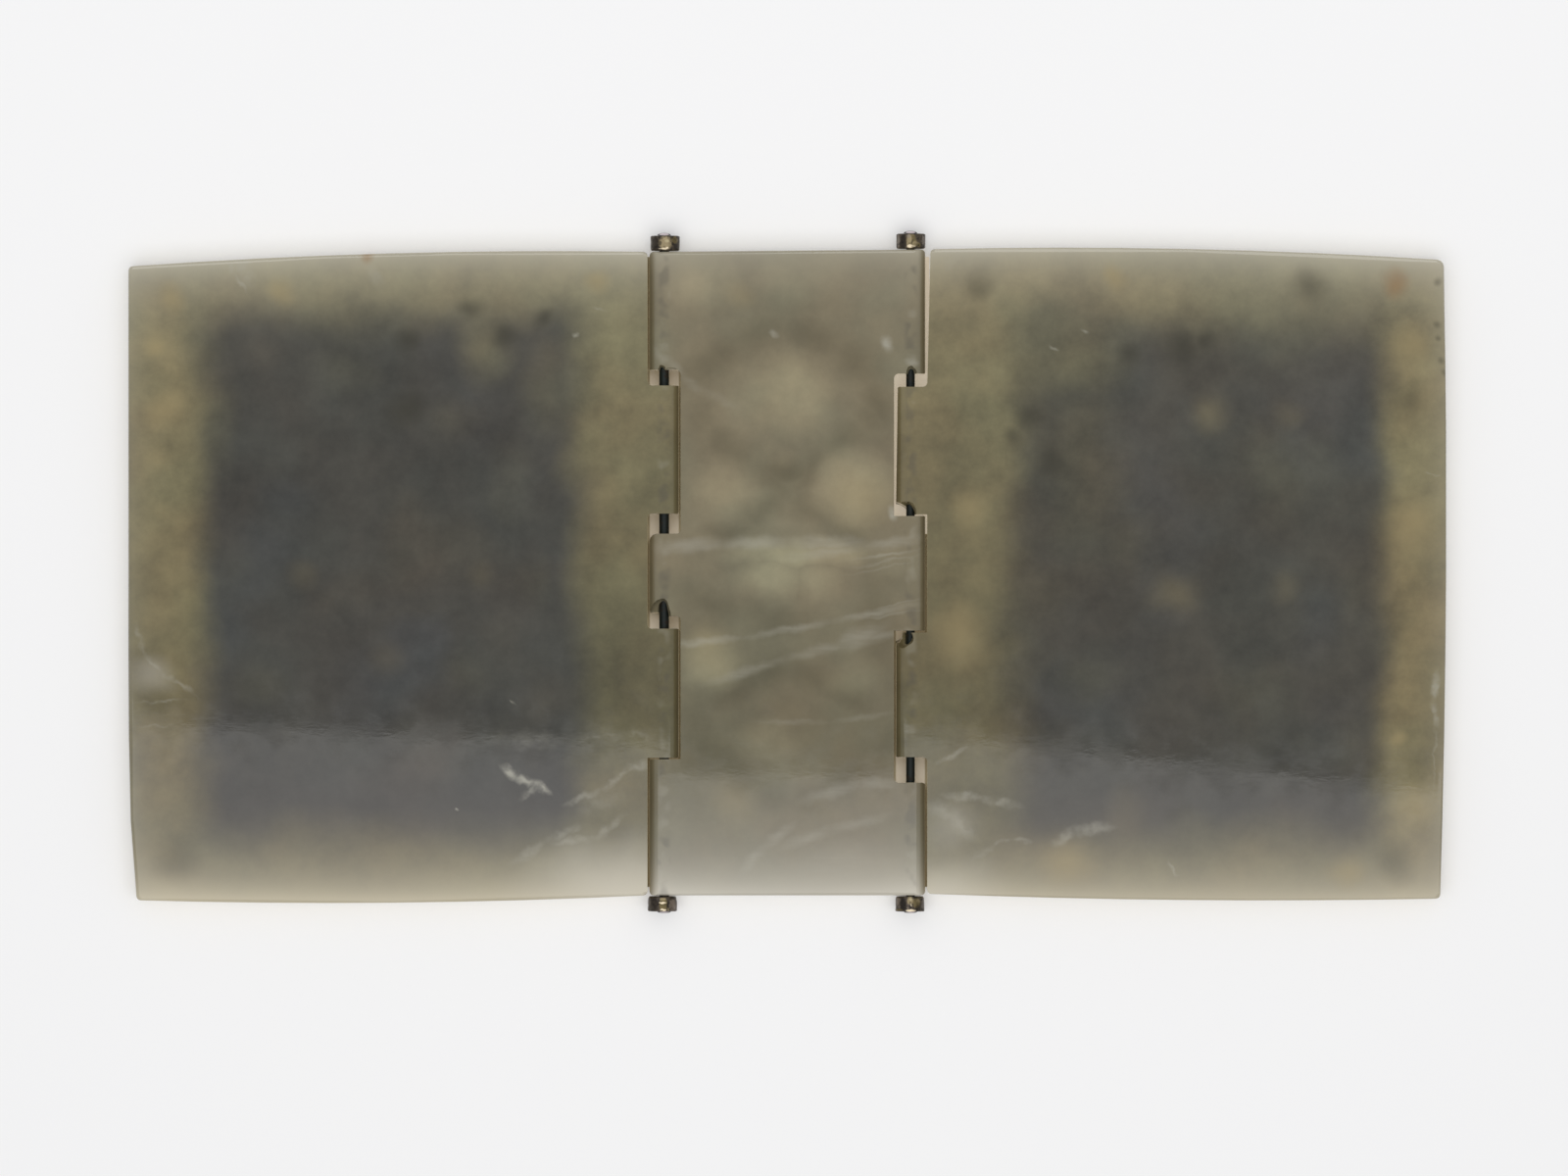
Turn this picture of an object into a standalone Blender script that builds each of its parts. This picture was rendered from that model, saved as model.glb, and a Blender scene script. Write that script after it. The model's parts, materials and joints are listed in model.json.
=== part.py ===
"""A jade book cover of three boards, lying open flat with its inner faces up.

A narrow spine lies between two wide covers. Five knuckles of stone interleave along each joint and
turn on a wire pin, which a metal collar and a peened head close at both ends.
+X runs to the right cover, +Y to the head of the book and +Z out of the inner faces.
"""

import math

import bmesh
import bpy
from mathutils import Matrix, Vector, noise

# Boards, in metres
BOARD_THICKNESS = 0.0054
COVER_REACH = 0.0984
HINGE_SPACING = 0.0453
SPINE_LENGTH = 0.1187
SPINE_TOP_FALL = 0.00043
RIM_ROUNDING = 0.0006
OUTER_CORNER = 0.0002
RIM_SEGMENTS = 3

# Hinges: knuckles from head to tail, as relative lengths, and the slits between them
HINGE_GAP = 0.00035
MOTION_CLEARANCE = 0.00014
KNUCKLE_CORNER = 0.00025
NOTCH_FILLET = 0.0008
EDGE_SEGMENTS = 6
LEFT_KNUCKLES = (21.8, 23.6, 15.2, 23.8, 25.1)
LEFT_SLITS = (0.0029, 0.0037, 0.0023, 0.0003)
RIGHT_KNUCKLES = (22.9, 23.5, 21.1, 22.9, 20.8)
RIGHT_SLITS = (0.0024, 0.0003, 0.0004, 0.0047)
WORN_CORNER = 0.0014
EASED_CORNER = 0.0006
RIGHT_SHOULDER_SLANT = 0.0006
RIGHT_TIP_SLANT = 0.00035

# Pins and their collars
LEFT_PIN_DIAMETER = 0.0018
RIGHT_PIN_DIAMETER = 0.0016
PIN_CLEARANCE = 0.00025
PIN_SIDES = 20
COLLAR_LENGTH = 0.00275
COLLAR_INSET = 0.00012
COLLAR_FLARE = 0.0001
COLLAR_EASE = 0.00035
COLLAR_SIDES = 28
SEAT_GAP = 0.0002
HEAD_RADIUS = 0.00125
HEAD_HEIGHT_TOP = 0.00045
HEAD_HEIGHT_BOTTOM = 0.00025
HEAD_GAP = 0.0001
HEAD_STEPS = 4
CUTTER_OVERRUN = 0.012

# Outlines of the covers: how far each corner lies past the spine's own end, and how far edges bow
LEFT_COVER = {
    "side": -1,
    "top_hinge": 0.0,
    "top_outer": -0.0027,
    "bottom_hinge": 0.0,
    "bottom_outer": 0.0009,
    "reach_top": 0.0,
    "reach_bottom": -0.0015,
    "top_bow": 0.00105,
    "bottom_bow": 0.0009,
    "outer_bow": 0.0,
    "outer_drop": 10,
    "top_corner": 0.0,
}
RIGHT_COVER = {
    "side": 1,
    "top_hinge": 0.0001,
    "top_outer": -0.0019,
    "bottom_hinge": -0.0003,
    "bottom_outer": 0.0006,
    "reach_top": -0.0004,
    "reach_bottom": -0.0011,
    "top_bow": 0.00103,
    "bottom_bow": 0.0007,
    "outer_bow": 0.00075,
    "outer_drop": 1,
    "top_corner": 0.0006,
}
EDGE_STEPS = 8
CORNER_STEPS = 3

# Values that follow from the sizes above
KNUCKLE_RADIUS = BOARD_THICKNESS / 2
SHOULDER = KNUCKLE_RADIUS + HINGE_GAP
LEFT_AXIS_X = -HINGE_SPACING / 2
RIGHT_AXIS_X = HINGE_SPACING / 2
COLLAR_RADIUS = KNUCKLE_RADIUS - COLLAR_INSET - COLLAR_FLARE
CORNER_RADIUS = RIM_ROUNDING + OUTER_CORNER
HEAD_STACK = SEAT_GAP + COLLAR_LENGTH + HEAD_GAP
MIDDLE_Y = (HEAD_HEIGHT_BOTTOM - HEAD_HEIGHT_TOP) / 2
SPINE_TOP = MIDDLE_Y + SPINE_LENGTH / 2
SPINE_BOTTOM = MIDDLE_Y - SPINE_LENGTH / 2
# A knuckle's square inner edge would catch the shoulder that swings past it. With this rounding
# the edge stays MOTION_CLEARANCE short of the shoulder all the way.
KNUCKLE_ROUNDING = (math.sqrt(2) * KNUCKLE_RADIUS - SHOULDER + MOTION_CLEARANCE) / (math.sqrt(2) - 1)

# Where stone has broken away at the hinges: which board, which hinge, the knuckle and its end, the
# centre's offset along X from the axis and along Y into the knuckle, its depth below the inner
# face (or "through"), and its half sizes in X and Y
CHIPS = (
    ("spine", "left", 0, "bottom", -0.0004, 0.0, 0.0020, 0.0007, 0.0009),
    ("spine", "left", 0, "bottom", 0.0013, 0.0, 0.0005, 0.0011, 0.0004),
    ("spine", "left", 2, "bottom", -0.0007, 0.0001, 0.0029, 0.0021, 0.0030),
    ("spine", "left", 2, "bottom", -0.0018, -0.0006, "through", 0.0018, 0.0013),
    ("spine", "right", 0, "bottom", 0.0001, -0.0002, 0.0023, 0.0010, 0.0017),
    ("right_cover", "right", 1, "bottom", -0.0008, -0.0001, 0.0029, 0.0020, 0.0026),
    ("right_cover", "right", 1, "bottom", -0.0026, 0.0, "through", 0.0023, 0.0024),
    ("right_cover", "right", 3, "top", -0.0016, 0.0007, 0.0032, 0.0021, 0.0021),
    ("right_cover", "right", 3, "top", -0.0030, -0.0002, "through", 0.0017, 0.0024),
)
CHIP_ROUGHNESS = 0.16
CHIP_GRAIN = 1.6
CHIP_FINENESS = 3

JADE = (0.22, 0.20, 0.13)
JADE_SPINE = (0.26, 0.24, 0.17)
PIN_METAL = (0.02, 0.022, 0.02)
COLLAR_METAL = (0.20, 0.15, 0.07)


def clear_scene():
    for obj in list(bpy.data.objects):
        bpy.data.objects.remove(obj, do_unlink=True)


def new_collection(name):
    collection = bpy.data.collections.new(name)
    bpy.context.scene.collection.children.link(collection)
    return collection


def material(name, colour, roughness, metallic):
    made = bpy.data.materials.new(name)
    made.use_nodes = True
    shader = made.node_tree.nodes["Principled BSDF"]
    shader.inputs["Base Color"].default_value = (*colour, 1.0)
    shader.inputs["Roughness"].default_value = roughness
    shader.inputs["Metallic"].default_value = metallic
    return made


def add_object(name, data, collection):
    obj = bpy.data.objects.new(name, data)
    collection.objects.link(obj)
    return obj


def add_cutter(name, data, collection):
    cutter = add_object(name, data, collection)
    cutter.hide_render = True
    cutter.display_type = "WIRE"
    return cutter


def cut(obj, cutter):
    boolean = obj.modifiers.new(cutter.name, "BOOLEAN")
    boolean.operation = "DIFFERENCE"
    boolean.solver = "EXACT"
    boolean.object = cutter


def spine_top_at(x):
    """The spine's head end falls a little towards the left."""
    right_tip = RIGHT_AXIS_X + KNUCKLE_RADIUS
    return SPINE_TOP - SPINE_TOP_FALL * (right_tip - x) / (2 * right_tip)


def knuckle_ends(axis_x, shares, slits):
    """(top, bottom) of the five knuckles, which share what the slits leave of the spine's length."""
    y = spine_top_at(axis_x)
    unit = (y - SPINE_BOTTOM - sum(slits)) / sum(shares)
    ends = []
    for share, slit in zip(shares, (*slits, 0.0)):
        ends.append((y, y - share * unit))
        y -= share * unit + slit
    return ends


HINGES = {
    "left": {
        "axis_x": LEFT_AXIS_X,
        "pin_radius": LEFT_PIN_DIAMETER / 2,
        "shoulder_slant": 0.0,
        "tip_slant": 0.0,
        "slits": LEFT_SLITS,
        "ends": knuckle_ends(LEFT_AXIS_X, LEFT_KNUCKLES, LEFT_SLITS),
    },
    "right": {
        "axis_x": RIGHT_AXIS_X,
        "pin_radius": RIGHT_PIN_DIAMETER / 2,
        "shoulder_slant": RIGHT_SHOULDER_SLANT,
        "tip_slant": RIGHT_TIP_SLANT,
        "slits": RIGHT_SLITS,
        "ends": knuckle_ends(RIGHT_AXIS_X, RIGHT_KNUCKLES, RIGHT_SLITS),
    },
}


def fillet_beside(slit):
    """An inner corner is rounded where its slit is wide enough to file it, and crisp elsewhere."""
    return min(NOTCH_FILLET, slit / 3)


def rounded(corners):
    """Outline points of (x, y, radius) corners, with an arc at each corner that has a radius."""
    points = []
    for index, (x, y, radius) in enumerate(corners):
        corner = Vector((x, y))
        if radius == 0:
            points.append(corner)
            continue
        before = (Vector(corners[index - 1][:2]) - corner).normalized()
        after = (Vector(corners[(index + 1) % len(corners)][:2]) - corner).normalized()
        half = before.angle(after) / 2
        centre = corner + (before + after).normalized() * radius / math.sin(half)
        start = corner + before * radius / math.tan(half) - centre
        end = corner + after * radius / math.tan(half) - centre
        turn = math.atan2(start.cross(end), start.dot(end))
        for step in range(CORNER_STEPS + 1):
            points.append(centre + Matrix.Rotation(turn * step / CORNER_STEPS, 2) @ start)
    return points


def bowed(start, end, bow, away):
    """Corners without radius on a shallow arc from start to end that stands off by bow along away."""
    corners = []
    for step in range(1, EDGE_STEPS):
        t = step / EDGE_STEPS
        point = Vector(start).lerp(Vector(end), t) + Vector(away) * 4 * bow * t * (1 - t)
        corners.append((*point, 0.0))
    return corners


def spine_corners():
    """The spine's outline, down its left side and up its right one."""
    sides = []
    for name, side in (("left", -1), ("right", 1)):
        hinge = HINGES[name]
        tip = hinge["axis_x"] + side * KNUCKLE_RADIUS
        shoulder = hinge["axis_x"] - side * SHOULDER
        head, _, middle, _, tail = hinge["ends"]
        fillets = [fillet_beside(slit) for slit in hinge["slits"]]
        sides.append(
            [
                (tip, spine_top_at(tip), CORNER_RADIUS),
                (tip, head[1], KNUCKLE_CORNER),
                (shoulder, head[1], fillets[0]),
                (shoulder, middle[0], fillets[1]),
                (tip, middle[0], WORN_CORNER if name == "left" else KNUCKLE_CORNER),
                (tip, middle[1], WORN_CORNER if name == "left" else KNUCKLE_CORNER),
                (shoulder, middle[1], fillets[2]),
                (shoulder, tail[0], fillets[3]),
                (tip, tail[0], KNUCKLE_CORNER if name == "left" else EASED_CORNER),
                (tip, SPINE_BOTTOM, CORNER_RADIUS),
            ]
        )
    return sides[0] + sides[1][::-1]


def outer_edge(shape, axis_x, top, bottom):
    """A cover's outer edge from its tail to its head: a bow, and a drop that gathers at the tail."""
    side = shape["side"]
    corners = []
    for step in range(EDGE_STEPS + 1):
        t = 1 - step / EDGE_STEPS
        change = shape["reach_bottom"] - shape["reach_top"]
        reach = COVER_REACH + shape["reach_top"] + change * t ** shape["outer_drop"]
        reach += 4 * shape["outer_bow"] * t * (1 - t)
        radius = CORNER_RADIUS if step == 0 else 0.0
        if step == EDGE_STEPS:
            radius = CORNER_RADIUS + shape["top_corner"]
        corners.append((axis_x + side * reach, top + (bottom - top) * t, radius))
    return corners


def cover_corners(shape, hinge):
    """A cover's outline: down its hinge side, then along the tail, the outer edge and the head."""
    side = shape["side"]
    axis_x = hinge["axis_x"]
    shoulder = axis_x + side * SHOULDER
    tip = axis_x - side * KNUCKLE_RADIUS
    upper, lower = hinge["ends"][1], hinge["ends"][3]
    fillets = [fillet_beside(slit) for slit in hinge["slits"]]
    top = spine_top_at(axis_x) + shape["top_hinge"]
    bottom = SPINE_BOTTOM - shape["bottom_hinge"]
    hinge_side = [
        (shoulder + side * hinge["shoulder_slant"], top, CORNER_RADIUS),
        (shoulder, upper[0], fillets[0]),
        (tip + side * hinge["tip_slant"], upper[0], KNUCKLE_CORNER),
        (tip, upper[1], KNUCKLE_CORNER),
        (shoulder, upper[1], fillets[1]),
        (shoulder, lower[0], fillets[2]),
        (tip, lower[0], KNUCKLE_CORNER),
        (tip, lower[1], KNUCKLE_CORNER),
        (shoulder, lower[1], fillets[3]),
        (shoulder, bottom, CORNER_RADIUS),
    ]
    top_outer = spine_top_at(axis_x) + shape["top_outer"]
    bottom_outer = SPINE_BOTTOM - shape["bottom_outer"]
    outer = outer_edge(shape, axis_x, top_outer, bottom_outer)
    tail = bowed(hinge_side[-1][:2], outer[0][:2], shape["bottom_bow"], (0, -1))
    head = bowed(outer[-1][:2], hinge_side[0][:2], shape["top_bow"], (0, 1))
    return hinge_side + tail + outer + head


def board(name, corners, on_rim, collection):
    """A board of full thickness with this outline; on_rim says which outline edges get rounded."""
    curve = bpy.data.curves.new(name + "_outline", "CURVE")
    curve.dimensions = "2D"
    curve.fill_mode = "BOTH"
    curve.extrude = BOARD_THICKNESS / 2
    points = rounded(corners)
    spline = curve.splines.new("POLY")
    spline.points.add(len(points) - 1)
    for target, point in zip(spline.points, points):
        target.co = (*point, 0.0, 1.0)
    spline.use_cyclic_u = True
    outline = add_object(name + "_outline", curve, collection)
    outline.location.z = BOARD_THICKNESS / 2
    bpy.context.view_layer.update()
    evaluated = outline.evaluated_get(bpy.context.evaluated_depsgraph_get())
    mesh = bpy.data.meshes.new_from_object(evaluated)
    mesh.name = name
    mesh.transform(outline.matrix_world)
    bpy.data.objects.remove(outline)
    weld_and_weigh(mesh, on_rim)
    obj = add_object(name, mesh, collection)
    rim = obj.modifiers.new("rim", "BEVEL")
    rim.width = RIM_ROUNDING
    rim.segments = RIM_SEGMENTS
    rim.limit_method = "WEIGHT"
    rim.use_clamp_overlap = False
    return obj


def weld_and_weigh(mesh, on_rim):
    """Closes the plate, makes each face of it one polygon and marks the edges that get rounded."""
    shape = bmesh.new()
    shape.from_mesh(mesh)
    bmesh.ops.remove_doubles(shape, verts=shape.verts, dist=1e-6)
    bmesh.ops.recalc_face_normals(shape, faces=shape.faces)
    inner = [
        edge
        for edge in shape.edges
        if all(abs(face.normal.z) > 0.99 for face in edge.link_faces)
    ]
    bmesh.ops.dissolve_edges(shape, edges=inner)
    weight = shape.edges.layers.float.new("bevel_weight_edge")
    for edge in shape.edges:
        middle = (edge.verts[0].co + edge.verts[1].co) / 2
        level = abs(edge.verts[0].co.z - edge.verts[1].co.z) < BOARD_THICKNESS / 2
        edge[weight] = 1.0 if level and on_rim(middle) else 0.0
    shape.to_mesh(mesh)
    shape.free()


def rim_of_cover(hinge, side):
    """Everything past the cover's shoulder is outer rim."""
    reach = SHOULDER + hinge["shoulder_slant"] + OUTER_CORNER
    return lambda point: side * (point.x - hinge["axis_x"]) > reach


def rim_of_spine(point):
    """Only the spine's two ends are outer rim."""
    return point.y > spine_top_at(point.x) - RIM_ROUNDING or point.y < SPINE_BOTTOM + RIM_ROUNDING


def bore_cutter(name, collection):
    """The drilled hole that a pin runs through, end to end."""
    hinge = HINGES[name]
    shape = bmesh.new()
    radius = hinge["pin_radius"] + PIN_CLEARANCE
    bmesh.ops.create_cone(
        shape,
        cap_ends=True,
        segments=PIN_SIDES,
        radius1=radius,
        radius2=radius,
        depth=SPINE_LENGTH + 2 * CUTTER_OVERRUN,
        matrix=Matrix.Rotation(math.pi / 2, 4, "X"),
    )
    mesh = bpy.data.meshes.new(name + "_bore")
    shape.to_mesh(mesh)
    shape.free()
    cutter = add_cutter(name + "_bore", mesh, collection)
    cutter.location = (hinge["axis_x"], 0.0, BOARD_THICKNESS / 2)
    return cutter


def edge_cutter(name, tip_x, inward, collection):
    """Takes a knuckle row's square inner edge off to a quarter round of KNUCKLE_ROUNDING."""
    curve = bpy.data.curves.new(name, "CURVE")
    curve.dimensions = "2D"
    curve.fill_mode = "BOTH"
    curve.extrude = SPINE_LENGTH / 2 + CUTTER_OVERRUN
    radius = KNUCKLE_ROUNDING
    points = [(-inward * radius, radius), (-inward * radius, -radius)]
    for step in range(EDGE_SEGMENTS + 1):
        angle = math.pi / 2 * step / EDGE_SEGMENTS
        points.append((inward * radius * (1 - math.cos(angle)), radius * (math.sin(angle) - 1)))
    points.append((inward * radius, radius))
    spline = curve.splines.new("POLY")
    spline.points.add(len(points) - 1)
    for target, point in zip(spline.points, points):
        target.co = (*point, 0.0, 1.0)
    spline.use_cyclic_u = True
    outline = add_object(name + "_outline", curve, collection)
    outline.rotation_euler.x = math.pi / 2
    outline.location = (tip_x, 0.0, BOARD_THICKNESS)
    bpy.context.view_layer.update()
    evaluated = outline.evaluated_get(bpy.context.evaluated_depsgraph_get())
    mesh = bpy.data.meshes.new_from_object(evaluated)
    world = outline.matrix_world.copy()
    bpy.data.objects.remove(outline)
    shape = bmesh.new()
    shape.from_mesh(mesh)
    bmesh.ops.remove_doubles(shape, verts=shape.verts, dist=1e-6)
    bmesh.ops.recalc_face_normals(shape, faces=shape.faces)
    shape.to_mesh(mesh)
    shape.free()
    cutter = add_cutter(name, mesh, collection)
    cutter.matrix_world = world
    return cutter


def chip_cutter(name, chip, collection):
    """A rough round lump that leaves a flake scar where it overlaps a knuckle."""
    _, hinge_name, knuckle, end, along_x, into, depth, half_x, half_y = chip
    hinge = HINGES[hinge_name]
    top, bottom = hinge["ends"][knuckle]
    y = bottom + into if end == "bottom" else top - into
    half_z = BOARD_THICKNESS if depth == "through" else depth
    z = BOARD_THICKNESS / 2 if depth == "through" else BOARD_THICKNESS
    shape = bmesh.new()
    bmesh.ops.create_icosphere(shape, subdivisions=CHIP_FINENESS, radius=1.0)
    seed = Vector((half_x, half_y, half_z)) * 1e4
    for vert in shape.verts:
        vert.co *= 1.0 + CHIP_ROUGHNESS * noise.noise(vert.co * CHIP_GRAIN + seed)
        vert.co = Vector((vert.co.x * half_x, vert.co.y * half_y, vert.co.z * half_z))
    mesh = bpy.data.meshes.new(name)
    shape.to_mesh(mesh)
    shape.free()
    cutter = add_cutter(name, mesh, collection)
    cutter.location = (hinge["axis_x"] + along_x, y, z)
    return cutter


def put_origin_on_axis(obj, hinge_name, collection):
    """Parents a cover to an empty on its hinge, with the cover's own origin there too."""
    axis = Vector((HINGES[hinge_name]["axis_x"], 0.0, BOARD_THICKNESS / 2))
    pivot = add_object(hinge_name + "_hinge", None, collection)
    pivot.location = axis
    obj.data.transform(Matrix.Translation(-axis))
    obj.parent = pivot


def turned(name, profile, sides, collection):
    """A turned piece from its profile, (radius, height) points from top to bottom."""
    mesh = bpy.data.meshes.new(name)
    points = [(radius, 0.0, height) for radius, height in profile]
    mesh.from_pydata(points, [(i, i + 1) for i in range(len(points) - 1)], [])
    obj = add_object(name, mesh, collection)
    screw = obj.modifiers.new("turn", "SCREW")
    screw.steps = sides
    screw.render_steps = sides
    screw.use_merge_vertices = True
    screw.merge_threshold = 1e-6
    screw.use_smooth_shade = True
    return obj


def pin_profile(radius, length_up, length_down):
    """A wire with a lens-shaped head at each end, around the pin's middle."""
    up = []
    for step in range(HEAD_STEPS + 1):
        angle = math.pi / 2 * step / HEAD_STEPS
        rise = HEAD_HEIGHT_TOP * math.cos(angle)
        up.append((HEAD_RADIUS * math.sin(angle), length_up - HEAD_HEIGHT_TOP + rise))
    up.append((radius, up[-1][1]))
    down = []
    for step in range(HEAD_STEPS + 1):
        angle = math.pi / 2 * step / HEAD_STEPS
        drop = HEAD_HEIGHT_BOTTOM * math.cos(angle)
        down.append((HEAD_RADIUS * math.sin(angle), HEAD_HEIGHT_BOTTOM - length_down - drop))
    down.append((radius, down[-1][1]))
    return up + down[::-1]


def collar_profile(pin_radius):
    """A short drum from its outer end, with a slight flare there, down to the seat on the stone."""
    bore = pin_radius + HEAD_GAP
    flare = COLLAR_RADIUS + COLLAR_FLARE
    return [
        (bore, COLLAR_LENGTH),
        (flare - COLLAR_EASE, COLLAR_LENGTH),
        (flare - COLLAR_EASE / 4, COLLAR_LENGTH - COLLAR_EASE / 4),
        (flare, COLLAR_LENGTH - COLLAR_EASE),
        (COLLAR_RADIUS, COLLAR_LENGTH - 2 * COLLAR_EASE),
        (COLLAR_RADIUS, 2 * COLLAR_EASE),
        (COLLAR_RADIUS - COLLAR_EASE / 3, COLLAR_EASE / 2),
        (COLLAR_RADIUS - COLLAR_EASE, 0.0),
        (bore, 0.0),
        (bore, COLLAR_LENGTH),
    ]


def add_boards(parts, cutters):
    boards = {"spine": board("spine", spine_corners(), rim_of_spine, parts)}
    for name, shape in (("left", LEFT_COVER), ("right", RIGHT_COVER)):
        hinge = HINGES[name]
        side = shape["side"]
        node = name + "_cover"
        rim = rim_of_cover(hinge, side)
        boards[node] = board(node, cover_corners(shape, hinge), rim, parts)
        bore = bore_cutter(name, cutters)
        spine_tip = hinge["axis_x"] + side * KNUCKLE_RADIUS
        cover_tip = hinge["axis_x"] - side * KNUCKLE_RADIUS
        cut(boards["spine"], edge_cutter(name + "_spine_edge", spine_tip, -side, cutters))
        cut(boards[node], edge_cutter(name + "_cover_edge", cover_tip, side, cutters))
        cut(boards["spine"], bore)
        cut(boards[node], bore)
    for index, chip in enumerate(CHIPS):
        cut(boards[chip[0]], chip_cutter(f"chip_{index}", chip, cutters))
    put_origin_on_axis(boards["left_cover"], "left", parts)
    put_origin_on_axis(boards["right_cover"], "right", parts)
    boards["spine"].data.materials.append(material("spine_jade", JADE_SPINE, 0.18, 0.0))
    for node in ("left_cover", "right_cover"):
        boards[node].data.materials.append(material(node + "_jade", JADE, 0.18, 0.0))


def add_pin_and_collars(name, parts):
    hinge = HINGES[name]
    x = hinge["axis_x"]
    z = BOARD_THICKNESS / 2
    top = spine_top_at(x) + HEAD_STACK + HEAD_HEIGHT_TOP
    bottom = SPINE_BOTTOM - HEAD_STACK - HEAD_HEIGHT_BOTTOM
    middle = (top + bottom) / 2
    profile = pin_profile(hinge["pin_radius"], top - middle, middle - bottom)
    pin = turned(name + "_hinge_pin", profile, PIN_SIDES, parts)
    pin.location = (x, middle, z)
    pin.rotation_euler.x = -math.pi / 2
    pin.data.materials.append(material(pin.name, PIN_METAL, 0.45, 1.0))
    for end, y, turn in (
        ("top", spine_top_at(x) + SEAT_GAP, -math.pi / 2),
        ("bottom", SPINE_BOTTOM - SEAT_GAP, math.pi / 2),
    ):
        node = f"{name}_{end}_collar"
        collar = turned(node, collar_profile(hinge["pin_radius"]), COLLAR_SIDES, parts)
        collar.location = (x, y, z)
        collar.rotation_euler.x = turn
        collar.data.materials.append(material(node, COLLAR_METAL, 0.4, 1.0))


def main():
    clear_scene()
    parts = new_collection("jade_book_cover")
    cutters = new_collection("cutters")
    add_boards(parts, cutters)
    add_pin_and_collars("left", parts)
    add_pin_and_collars("right", parts)


main()
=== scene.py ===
"""A hinged jade book cover, open on a pale floor: polished stone boards, wire pins, gilt collars.

Marks in the materials are in millimetres, in the frame's own axes. Shapes, lights and floors are
in metres, and where a length is written in millimetres it is multiplied by MM.
"""

import json
import math

import bmesh
import bpy
import numpy as np
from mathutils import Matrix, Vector, noise


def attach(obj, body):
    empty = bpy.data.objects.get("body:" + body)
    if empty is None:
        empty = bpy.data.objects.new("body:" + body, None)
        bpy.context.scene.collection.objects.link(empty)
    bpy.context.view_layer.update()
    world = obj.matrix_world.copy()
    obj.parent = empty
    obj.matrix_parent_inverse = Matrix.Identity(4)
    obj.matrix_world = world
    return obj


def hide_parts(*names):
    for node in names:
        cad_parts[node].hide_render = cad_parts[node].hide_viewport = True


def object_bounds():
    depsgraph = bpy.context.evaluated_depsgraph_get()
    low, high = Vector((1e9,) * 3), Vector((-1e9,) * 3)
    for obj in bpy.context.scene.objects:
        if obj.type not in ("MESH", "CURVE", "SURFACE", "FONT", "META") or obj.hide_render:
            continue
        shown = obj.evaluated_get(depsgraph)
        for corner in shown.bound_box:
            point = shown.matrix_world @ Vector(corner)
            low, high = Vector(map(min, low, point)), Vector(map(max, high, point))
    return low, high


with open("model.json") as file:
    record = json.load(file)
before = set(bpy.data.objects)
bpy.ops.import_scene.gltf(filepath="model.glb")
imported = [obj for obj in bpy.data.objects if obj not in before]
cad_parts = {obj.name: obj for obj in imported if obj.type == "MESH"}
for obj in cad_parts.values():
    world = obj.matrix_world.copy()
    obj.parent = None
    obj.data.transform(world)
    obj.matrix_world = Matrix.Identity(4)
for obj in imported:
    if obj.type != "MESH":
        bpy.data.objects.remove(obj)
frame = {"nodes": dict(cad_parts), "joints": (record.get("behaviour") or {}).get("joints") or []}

cad_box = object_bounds()

MM = 0.001
PIXEL_MM = 0.18
PHOTO_WIDTH = 1600
PHOTO_CENTRE_MM = (-0.61, -2.96)
CAMERA_HEIGHT = 2.2
SENSOR_WIDTH = 36.0

# A face whose normal is at least this upright belongs to a board's inner or outer face
FLAT = 0.999
SAME_POINT = 0.001 * MM
SAME_PLANE = math.radians(0.4)
SHARP_ANGLE = math.radians(38)
# An edge where a face over 6 mm long ends in a bend of over 4 degrees is shaded as a crease
LONG_STRIP = 6 * MM
STRIP_BEND = math.radians(4)
# The collars stay inside the CAD model's box, which is as high as the boards are thick
LARGEST_COLLAR_MM = cad_box[1].z / MM / 2 - 0.01
HINGES = {joint["name"].split("_")[0]: joint["pos_m"][0] / MM for joint in frame["joints"]}

# Colours of the stone, linear
COVER_BODY = (0.114, 0.098, 0.049)
COVER_PALE = (0.290, 0.252, 0.135)
COVER_OUTER = (0.167, 0.144, 0.075)
WARM_BORDER = (0.232, 0.188, 0.092)
FIELD = (0.043, 0.042, 0.036)
FIELD_BLUE = (0.042, 0.044, 0.044)
FIELD_BROWN = (0.066, 0.056, 0.040)
FIELD_VIOLET = (0.028, 0.025, 0.026)
SPINE_BODY = (0.185, 0.162, 0.102)
SPINE_LIGHT = (0.305, 0.272, 0.168)
SPINE_DARK = (0.112, 0.097, 0.056)
HEAD_GLOW = (0.46, 0.43, 0.34)
TAIL_GLOW = (0.54, 0.48, 0.345)
MILKY = (0.58, 0.545, 0.46)
BROWNISH_TINT = (1.035, 0.982, 0.96)
GREENISH_TINT = (0.97, 1.012, 1.022)
SIDE_GLOW = (0.135, 0.112, 0.070)
FLOOR = (0.92, 0.92, 0.925)
# Creamy light painted on the floor seen through the hinge gaps, as if it came through the stone
CREAM_PAINTED_LIGHT = (0.92, 0.83, 0.70)
# Painted shade on the floor in the narrow slits beside the knuckles
SLIT_PAINTED_SHADE = (0.46, 0.39, 0.25)
# Painted shade for the knuckles' rounded tips
TIP_PAINTED_SHADE = (0.085, 0.068, 0.035)
BORE_DARK = (0.06, 0.055, 0.05)
YELLOW = (0.335, 0.262, 0.125)
RUST = (0.26, 0.13, 0.04)
WHITE = (0.40, 0.385, 0.32)
DARK_GREEN = (0.024, 0.022, 0.012)

# Colours of the decorated outer faces and of the pins, linear
FIELD_PAINT = (0.012, 0.017, 0.03)
GILT = (0.46, 0.30, 0.09)
PIN_BLACK = (0.006, 0.010, 0.009)
PIN_RUST = (0.018, 0.012, 0.006)
# A painted highlight on the pins' heads
PIN_PAINTED_HIGHLIGHT = (0.66, 0.58, 0.60)

# Noise stays within about a quarter of its middle, so this brings its swing to one
NOISE_SPREAD = 4.0
DASH_REACH = 0.62


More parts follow.
